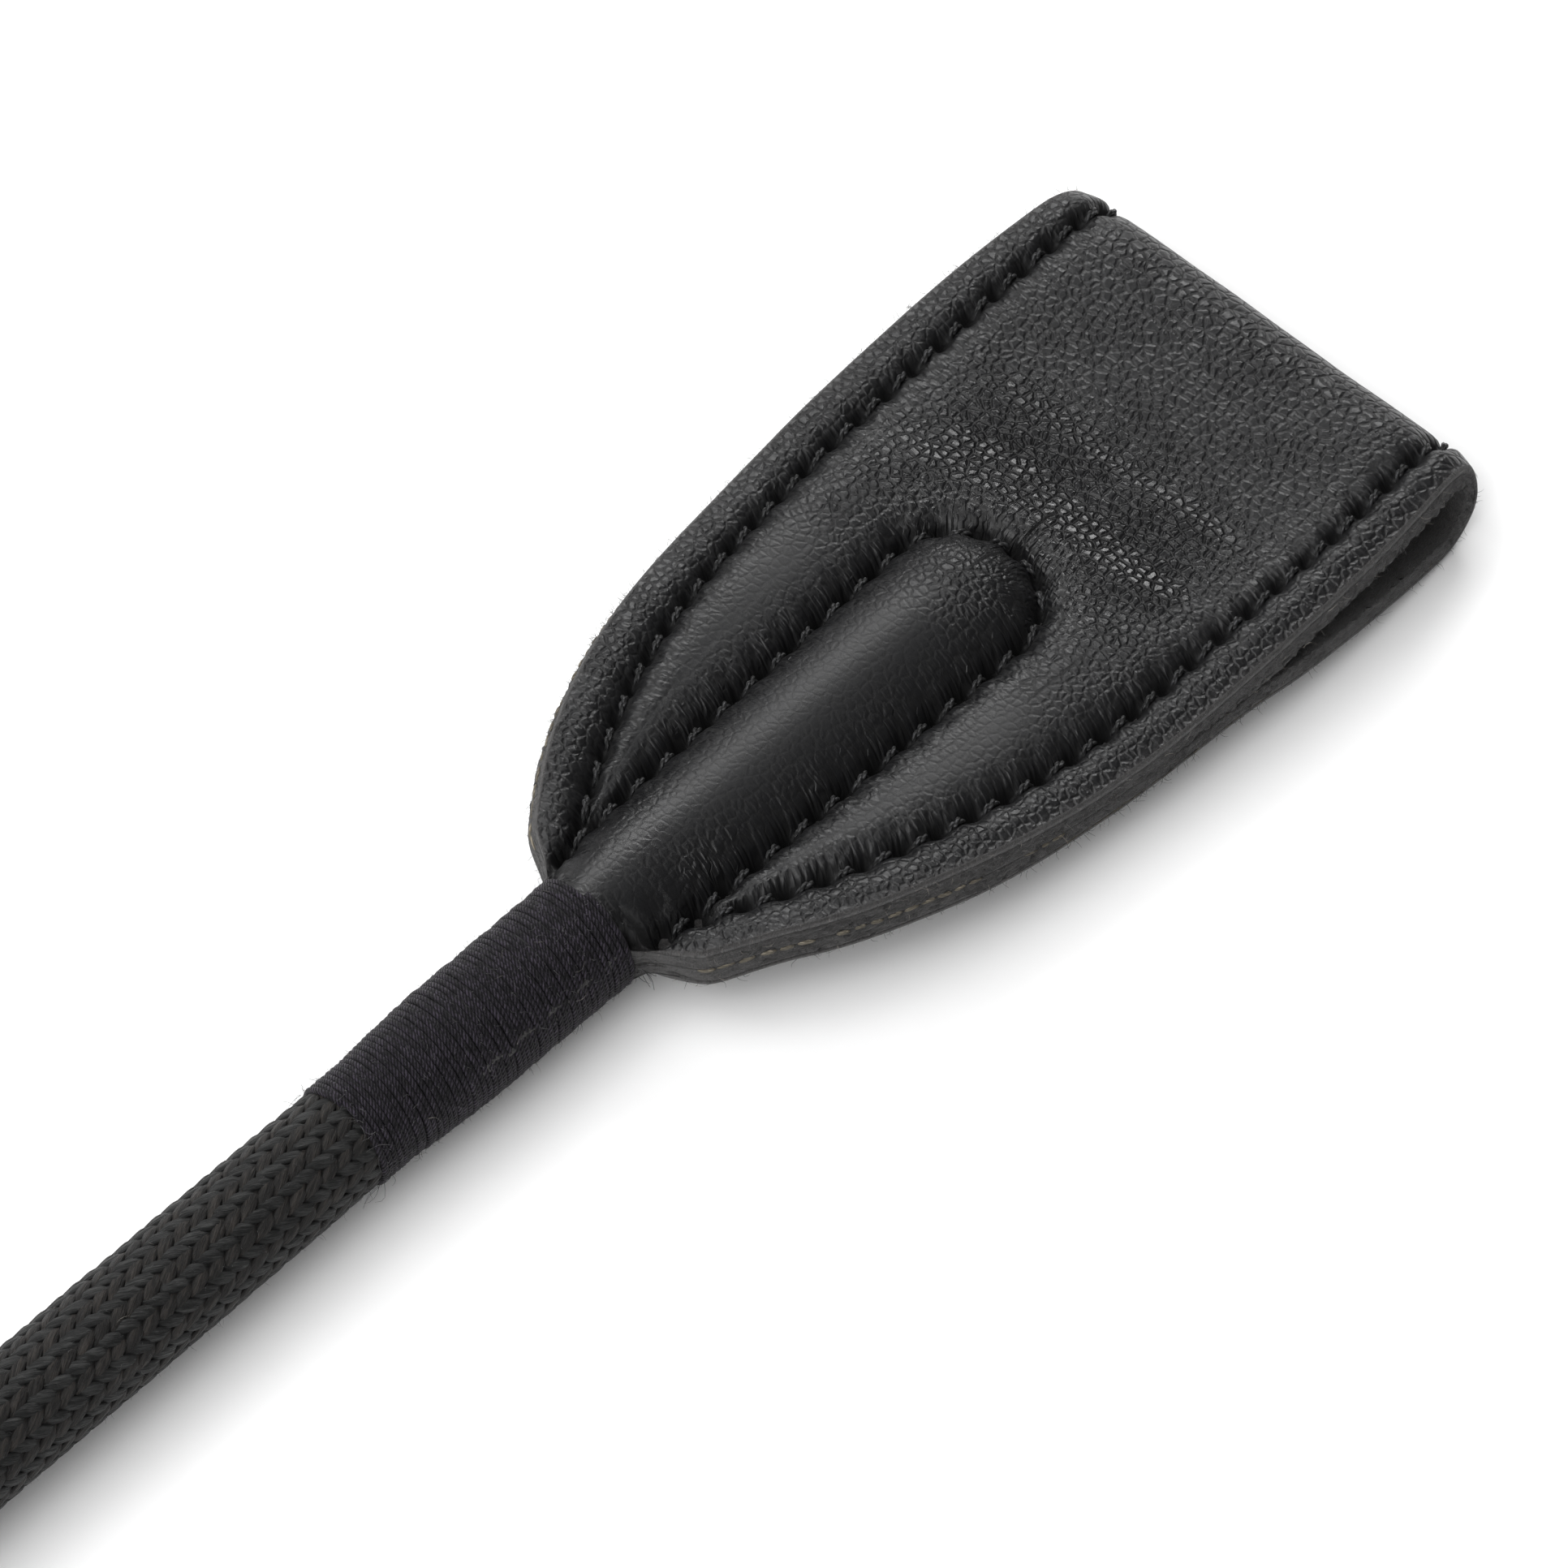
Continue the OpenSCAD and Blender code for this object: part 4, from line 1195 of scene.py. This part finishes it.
def grip_cover():
    """Pebbled leather wrapped round the grip. Its edges lap and are sewn underneath."""
    x = np.arange(SHAFT_REAR + 0.2, GRIP_FRONT, 0.45)
    near = np.arange(0, 16, 0.8)
    far = np.linspace(16, 344, 84)
    turn = np.radians(join(near, far, 360 - near[:0:-1]))
    xx, tt = np.meshgrid(x, turn, indexing="ij")
    r = np.repeat(cover_radius(x)[:, None], len(turn), 1)
    d = (tt - 2 * math.pi * (tt > math.pi)) * r
    h = 0.05 * wobble(xx, 90, 25) + 0.04 * wobble(d + xx * 0.3, 91, 14)
    sewn = step(xx, SEAM_FROM - 1, SEAM_FROM) * (1 - step(xx, GRIP_SHOULDER - 1, GRIP_SHOULDER))
    h = h - seam(d, xx - SEAM_FROM, 0.5) * sewn
    h = h + 0.3 * np.where(d < LAP_AT, np.exp(-(LAP_AT - d) / 5.0), 0.0)
    h = h - 0.15 * bell(d - LAP_AT, 0.3)
    under = step(xx, CAP_FRONT + 10.5, CAP_FRONT + 14.5) * (1 - step(xx, -460, -457.5))
    rr = r + h * under - 0.08 * (1 - under)
    outer = round_axis(xx, rr, tt + math.pi)
    inner_x = np.linspace(x[-1], x[0], 12)
    inner_r = cover_radius(inner_x) - COVER_T
    inner = round_axis(inner_x[:, None], inner_r[:, None], turn + math.pi)
    rings = join(outer, inner)
    pts = rings.reshape(-1, 3)
    count = len(pts)
    lay = np.zeros((count, 3))
    lay[: xx.size] = vec(xx.ravel(), (tt * r).ravel(), 0)
    drawn = np.zeros(count)
    drawn[: xx.size] = (bell(d, 2.4) * sewn).ravel()
    shine = np.full(count, 0.3)
    quads = grid_quads(len(rings) + 1, len(turn), wrap=True) % count
    slots = np.repeat((np.arange(len(rings)) >= len(x) - 1).astype(int), len(turn))
    return build("grip_cover_leather", pts, quads, (), lay, rows=lay,
                 masks={"drawn": drawn, "shine": shine}, materials=(LEATHER, CUT_EDGE),
                 slots=slots)


def grip_seam():
    """The grip cover's seam."""
    k = np.arange(math.floor((GRIP_SHOULDER - 1 - SEAM_FROM) / STITCH))[:, None]
    x = SEAM_FROM + (k + np.linspace(0.07, 0.93, 10)[None]) * STITCH
    r = cover_radius(x.ravel()).reshape(x.shape) + 0.05
    base = vec(x, np.linspace(-0.2, 0.2, 10), -r)
    normal = np.broadcast_to(np.array((0.0, 0.0, -1.0)), base.shape)
    return two_ply("grip_seam_stitches", base, normal)


def grip_whippings():
    """The windings at both ends of the grip, each followed by its loose fibres."""
    made = []
    for name, profile, per_turn, seed, x0, x1, r in (
        ("front", [(-457, 7.67), (-450.5, 6.6), (-443, 5.3)], 40, 12, -457, -443, 6.4),
        ("rear", [(-609.8, 10.45), (-598, 10.3)], 60, 13, -609, -598, 10.35),
    ):
        thread = winding(profile, 0.62, 0.31, per_turn=per_turn, sides=7, seed=seed, lean=0.2)
        made.append(build(f"grip_{name}_whipping_thread", *thread, materials=(WINDING,)))
        fuzz = surface_hairs(x0, x1, lambda x, r=r: r, 90, 0.8, 0.016, 52)
        made.append(hair_piece(f"grip_{name}_whipping_fuzz", DARK_HAIR, fuzz))
    return made


# ---------------------------------------------------------------- wrist loop

PIN_X = BUTT_X + 7
EYE_R = 1.58
STRAP_T = 1.1
LINING_T = 0.8
STRAP_W = 10.0
ROW_AT = STRAP_W / 2 - 1.6
LOOP_START = -18.0
LOOP_DROP = 150.0 + LOOP_START
LOOP_HALF_W = 25.0
LOOP_POWER = 1.35
LOOP_HANG = math.radians(2.793)
LOOP_STITCHES = 80


def loop_path(off, gap):
    """Line of the strap seen from above, off from its inner face: along the neck, round the
    loop, back along the neck and round the pin. Gives points and which ones hang."""
    inner_l = LOOP_DROP - STRAP_T - LINING_T
    widest = math.acos(-LOOP_POWER / (LOOP_POWER + 2))
    peak = math.sin(widest) * math.sin(widest / 2) ** LOOP_POWER
    a = np.linspace(0, 2 * math.pi, 1500)
    drop = vec(-inner_l * (1 - np.cos(a)) / 2,
               -LOOP_HALF_W / peak * np.sin(a) * np.sin(a / 2) ** LOOP_POWER)
    ahead = np.gradient(drop, axis=0)
    ahead[0] = ahead[1]
    ahead[-1] = ahead[-2]
    ahead = unit(ahead)
    drop = drop + off * vec(-ahead[:, 1], ahead[:, 0]) + (LOOP_START, 0)
    round_r = EYE_R + off
    corner = math.pi - math.asin(min(off / round_r, 1))
    b = np.linspace(corner, -corner, 200)
    eye = round_r * vec(np.cos(b), np.sin(b))
    neck = np.linspace(eye[-1], (LOOP_START, -off), 60)[1:-1]
    back = neck[::-1] * (1, -1)
    line = join(neck, drop, back, eye)
    hang = join(np.zeros(len(neck)), np.ones(len(drop)), np.zeros(len(back) + len(eye)))
    closed = join(line, line[:1])
    run = lengths(closed)
    n = int(run[-1] / gap)
    at = np.arange(n) * run[-1] / n
    pts = at_lengths(at, run, closed)
    hang = np.interp(at, run, np.append(hang, hang[0]))
    width = int(1.6 / gap) * 2 + 1
    window = np.hanning(width + 2)[1:-1]
    window /= window.sum()
    wrap = join(pts[-width:], pts, pts[:width])
    pts = vec(*[np.convolve(wrap[:, k], window, "same")[width:-width] for k in (0, 1)])
    start = run[len(neck)]
    end = run[len(neck) + len(drop) - 1]
    return pts, hang, at, start, end


def strap_frames(pts, hang):
    """Centres, outward and upward vectors along the strap, with the loop hanging down."""
    ahead = unit(np.roll(pts, -1, 0) - np.roll(pts, 1, 0))
    tilt = LOOP_HANG * step(hang, 0, 1)
    out = vec(-ahead[:, 1] * np.cos(tilt), ahead[:, 0], -ahead[:, 1] * np.sin(tilt))
    x = pts[:, 0] - LOOP_START
    centres = vec(PIN_X + LOOP_START + x * np.cos(tilt), pts[:, 1],
                  np.minimum(x, 0) * np.sin(tilt))
    up = vec(-np.sin(tilt), 0, np.cos(tilt))
    return centres, out, up


def strap(name, off, thick, width, sewn, materials):
    """One layer of the wrist strap."""
    pts, hang, at, start, end = loop_path(off, 0.4)
    centres, out, up = strap_frames(pts, hang)
    half = width / 2
    pitch = (end - start) / LOOP_STITCHES
    face = join(np.linspace(-half + 0.25, -ROW_AT - 0.7, 4),
                np.linspace(-ROW_AT - 0.45, -ROW_AT + 0.45, 5),
                np.linspace(-ROW_AT + 0.8, ROW_AT - 0.8, 8),
                np.linspace(ROW_AT - 0.45, ROW_AT + 0.45, 5),
                np.linspace(ROW_AT + 0.7, half - 0.25, 4))
    v = join(face, [half - 0.07, half, half - 0.05], np.linspace(half - 0.4, -half + 0.4, 7),
             [-half + 0.05, -half, -half + 0.07])
    m, n = len(v), len(pts)
    t = join(np.full(len(face), 0.5), [0.36, 0.0, -0.42], np.full(7, -0.5), [-0.42, 0.0, 0.36])
    lift = np.repeat((t * thick)[None], n, 0)
    run = np.repeat((at - start)[:, None], m, 1)
    if sewn:
        d = np.minimum(np.abs(v - ROW_AT), np.abs(v + ROW_AT))[None]
        rows = np.zeros_like(lift)
        rows[:, : len(face)] = 1
        inside = (run > 1.5 * pitch) & (run < end - start - 1.5 * pitch)
        crown = 0.14 * (1 - np.exp(-d / 0.9)) * rows
        lift = lift + crown - seam(d, run, 0.4, pitch) * rows * inside
    lift = lift + 0.02 * wobble(run, 55, 7)
    ring = centres[:, None] + out[:, None] * lift[..., None] + up[:, None] * v[None, :, None]
    count = n * m
    lay = vec(run, v, 0)
    drawn = np.zeros((n, m))
    if sewn:
        drawn[:, : len(face)] = 0.8 * bell(np.abs(v[: len(face)]) - ROW_AT, 1.2)
    edge = np.zeros(m, int)
    edge[len(face) - 1: len(face) + 2] = 1
    edge[-4:] = 1
    slots = np.tile(edge, n)
    quads = grid_quads(n + 1, m, wrap=True) % count
    return build(name, ring.reshape(-1, 3), quads[:, ::-1], (), lay.reshape(count, 3),
                 rows=lay.reshape(count, 3), masks={"drawn": drawn.ravel()},
                 materials=materials, slots=slots)


def strap_stitches():
    """Both rows of stitches of the wrist strap."""
    off = LINING_T + STRAP_T / 2
    pts, hang, at, start, end = loop_path(off, 0.4)
    centres, out, up = strap_frames(pts, hang)
    pitch = (end - start) / LOOP_STITCHES
    k = np.arange(2, LOOP_STITCHES - 2)[:, None]
    run = start + (k + np.linspace(0.08, 0.92, 9)[None]) * pitch
    bases, normals = [], []
    for side in (-1, 1):
        centre, way, rise = (at_lengths(run, at, a) for a in (centres, out, up))
        slant = side * ROW_AT + np.linspace(-0.18, 0.18, 9)[None, :, None]
        bases.append(centre + way * (STRAP_T / 2 + 0.14) + rise * slant)
        normals.append(unit(way))
    return two_ply("wrist_strap_stitches", np.concatenate(bases), np.concatenate(normals))


# ---------------------------------------------------------------- camera, floor, lights

def camera():
    """The camera is far from the crop with a long lens, behind and to the right of the
    flap, and looks down on it."""
    heading, down, distance = math.radians(43.466), math.radians(53.149), 700.0
    target = np.array((-59.618, -1.189, 0.0))
    forward = np.array((
        math.cos(heading) * math.cos(down), math.sin(heading) * math.cos(down),
        -math.sin(down)))
    right = np.array((math.sin(heading), -math.cos(heading), 0.0))
    above = np.cross(right, forward)
    basis = np.stack([right, above, -forward]) @ AXES
    data = bpy.data.cameras.new("camera")
    data.sensor_width = 36.0
    data.lens = 205.54
    data.clip_start = 0.01
    obj = new_object("camera", data)
    matrix = Matrix([list(row) for row in basis.T]).to_4x4()
    matrix.translation = Vector(to_row(target - forward * distance))
    obj.matrix_world = matrix
    bpy.context.scene.camera = obj


def floor():
    """White paper under the crop."""
    size = 4.0
    mesh = bpy.data.meshes.new("floor")
    mesh.from_pydata([(-size, -size, 0), (size, -size, 0), (size, size, 0), (-size, size, 0)],
                     [], [(0, 1, 2, 3)])
    g = Graph("paper", Specular_IOR_Level=0.1)
    fibre = g.noise(g.add("TexCoord").outputs["Object"], 300.0, 4.0)
    g.finish(g.mix(fibre, rgb(0.93, 0.93, 0.93), rgb(0.95, 0.95, 0.95)),
             g.ramp(fibre, 0.2, 0.8, 0.8, 0.95))
    mesh.materials.append(g.material)
    obj = new_object("floor", mesh)


def soft_light(name, heading, elevation, distance, size, radiance):
    """A softbox that faces the flap. Its heading is measured from the crop's x towards y."""
    data = bpy.data.lights.new(name, "AREA")
    data.shape = "RECTANGLE"
    data.size, data.size_y = size
    data.energy = radiance * math.pi * size[0] * size[1]
    obj = new_object(name, data)
    turn, rise = math.radians(heading), math.radians(elevation)
    way = np.array((math.cos(turn) * math.cos(rise), math.sin(turn) * math.cos(rise),
                    math.sin(rise)))
    aim = np.array((-55.0, 0.0, 0.0))
    at = Vector(to_row(aim + way * distance * 1000))
    back = Vector(to_row(aim)) - at
    obj.matrix_world = Matrix.Translation(at) @ back.to_track_quat("-Z", "Y").to_matrix().to_4x4()


def lights():
    """Five softboxes and a weak white world."""
    soft_light("overhead", 150, 75, 1.3, (1.3, 1.3), 1.4)
    soft_light("key", 112, 52, 1.3, (0.9, 0.7), 2.6)
    soft_light("back", 60, 33, 1.4, (0.6, 0.35), 7.5)
    soft_light("rim", 33, 31, 1.4, (0.5, 0.26), 17.0)
    soft_light("fill", 187, 38, 1.3, (1.3, 1.1), 3.2)
    world = bpy.data.worlds.new("studio")
    world.use_nodes = True
    world.node_tree.nodes["Background"].inputs["Color"].default_value = rgb(1.0, 1.0, 1.0)
    world.node_tree.nodes["Background"].inputs["Strength"].default_value = 0.19
    bpy.context.scene.world = world
    bpy.context.scene.view_settings.view_transform = "Standard"


# ---------------------------------------------------------------- the whole

def blend_flap(obj):
    """Bakes a piece of the flap's placement into its mesh."""
    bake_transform(obj)


camera()
floor()
lights()

skin = flap_skin()
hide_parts("flap_top_skin", "flap_bottom_skin", "flap_tip_skin")
felt = flap_felt()
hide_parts("flap_top_felt", "flap_bottom_felt", "flap_tip_felt")
dashes = edge_dashes()
fuzz = edge_fuzz()
border = border_stitches()
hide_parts("flap_border_stitching", "flap_tip_stitching")
for piece in (skin, felt, dashes, border, *fuzz):
    blend_flap(piece)
channel = channel_stitches()
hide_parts("flap_channel_stitching")
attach(channel, "crop")

whip, whip_fuzz = tip_whipping()
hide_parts("tip_whipping")
for piece in (whip, *whip_fuzz):
    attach(piece, "crop")

right_yarns = braid_yarns(1)
left_yarns = braid_yarns(-1)
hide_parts("braided_sleeve")
for piece in (right_yarns, left_yarns, *braid_fuzz()):
    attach(piece, "crop")

cover = grip_cover()
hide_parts("grip_cover")
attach(cover, "crop")
sewing = grip_seam()
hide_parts("grip_seam_stitching")
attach(sewing, "crop")
windings = grip_whippings()
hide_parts("grip_front_whipping")
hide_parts("grip_rear_whipping")
for piece in windings:
    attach(piece, "crop")

outer_strap = strap("wrist_strap_leather", LINING_T + STRAP_T / 2, STRAP_T, STRAP_W, True,
                    (LEATHER, CUT_EDGE))
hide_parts("wrist_strap")
lining = strap("wrist_strap_backing", LINING_T / 2, LINING_T - 0.06, STRAP_W - 0.3, False,
               (FELT,))
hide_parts("wrist_strap_lining")
strap_sewing = strap_stitches()
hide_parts("wrist_strap_stitching")
for piece in (outer_strap, lining, strap_sewing):
    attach(piece, "wrist_loop")

CAP = rubber_material("butt_cap_plastic", rgb(0.006, 0.006, 0.0065), rgb(0.014, 0.014, 0.015),
                      0.32)
STEEL = metal_material("pin_steel", rgb(0.56, 0.57, 0.58), rgb(0.30, 0.29, 0.28), 0.22)
BRASS = metal_material("rivet_brass", rgb(0.72, 0.53, 0.24), rgb(0.35, 0.22, 0.08), 0.24)
GLASS_FIBRE = fibre_material("glass_fibre", rgb(0.55, 0.58, 0.48), rgb(0.75, 0.76, 0.66),
                             (60.0, 1500.0, 1500.0))
FILLER = fibre_material("filler_yarn", rgb(0.38, 0.35, 0.29), rgb(0.62, 0.58, 0.50),
                        (300.0, 2500.0, 2500.0))
ROD_CAP = rubber_material("rod_cap_rubber", rgb(0.012, 0.012, 0.012),
                          rgb(0.025, 0.024, 0.023), 0.55)
CORK = fibre_material("grip_core_cork", rgb(0.34, 0.23, 0.13), rgb(0.52, 0.39, 0.25),
                      (500.0, 700.0, 700.0))
for node, material in (
    ("butt_cap", CAP), ("strap_pin", STEEL), ("wrist_strap_rivet", BRASS),
    ("core_rod", GLASS_FIBRE), ("filler_layer", FILLER), ("rod_end_cap", ROD_CAP),
    ("grip_core", CORK),
):
    mesh = frame["nodes"][node].data
    mesh.materials.clear()
    mesh.materials.append(material)
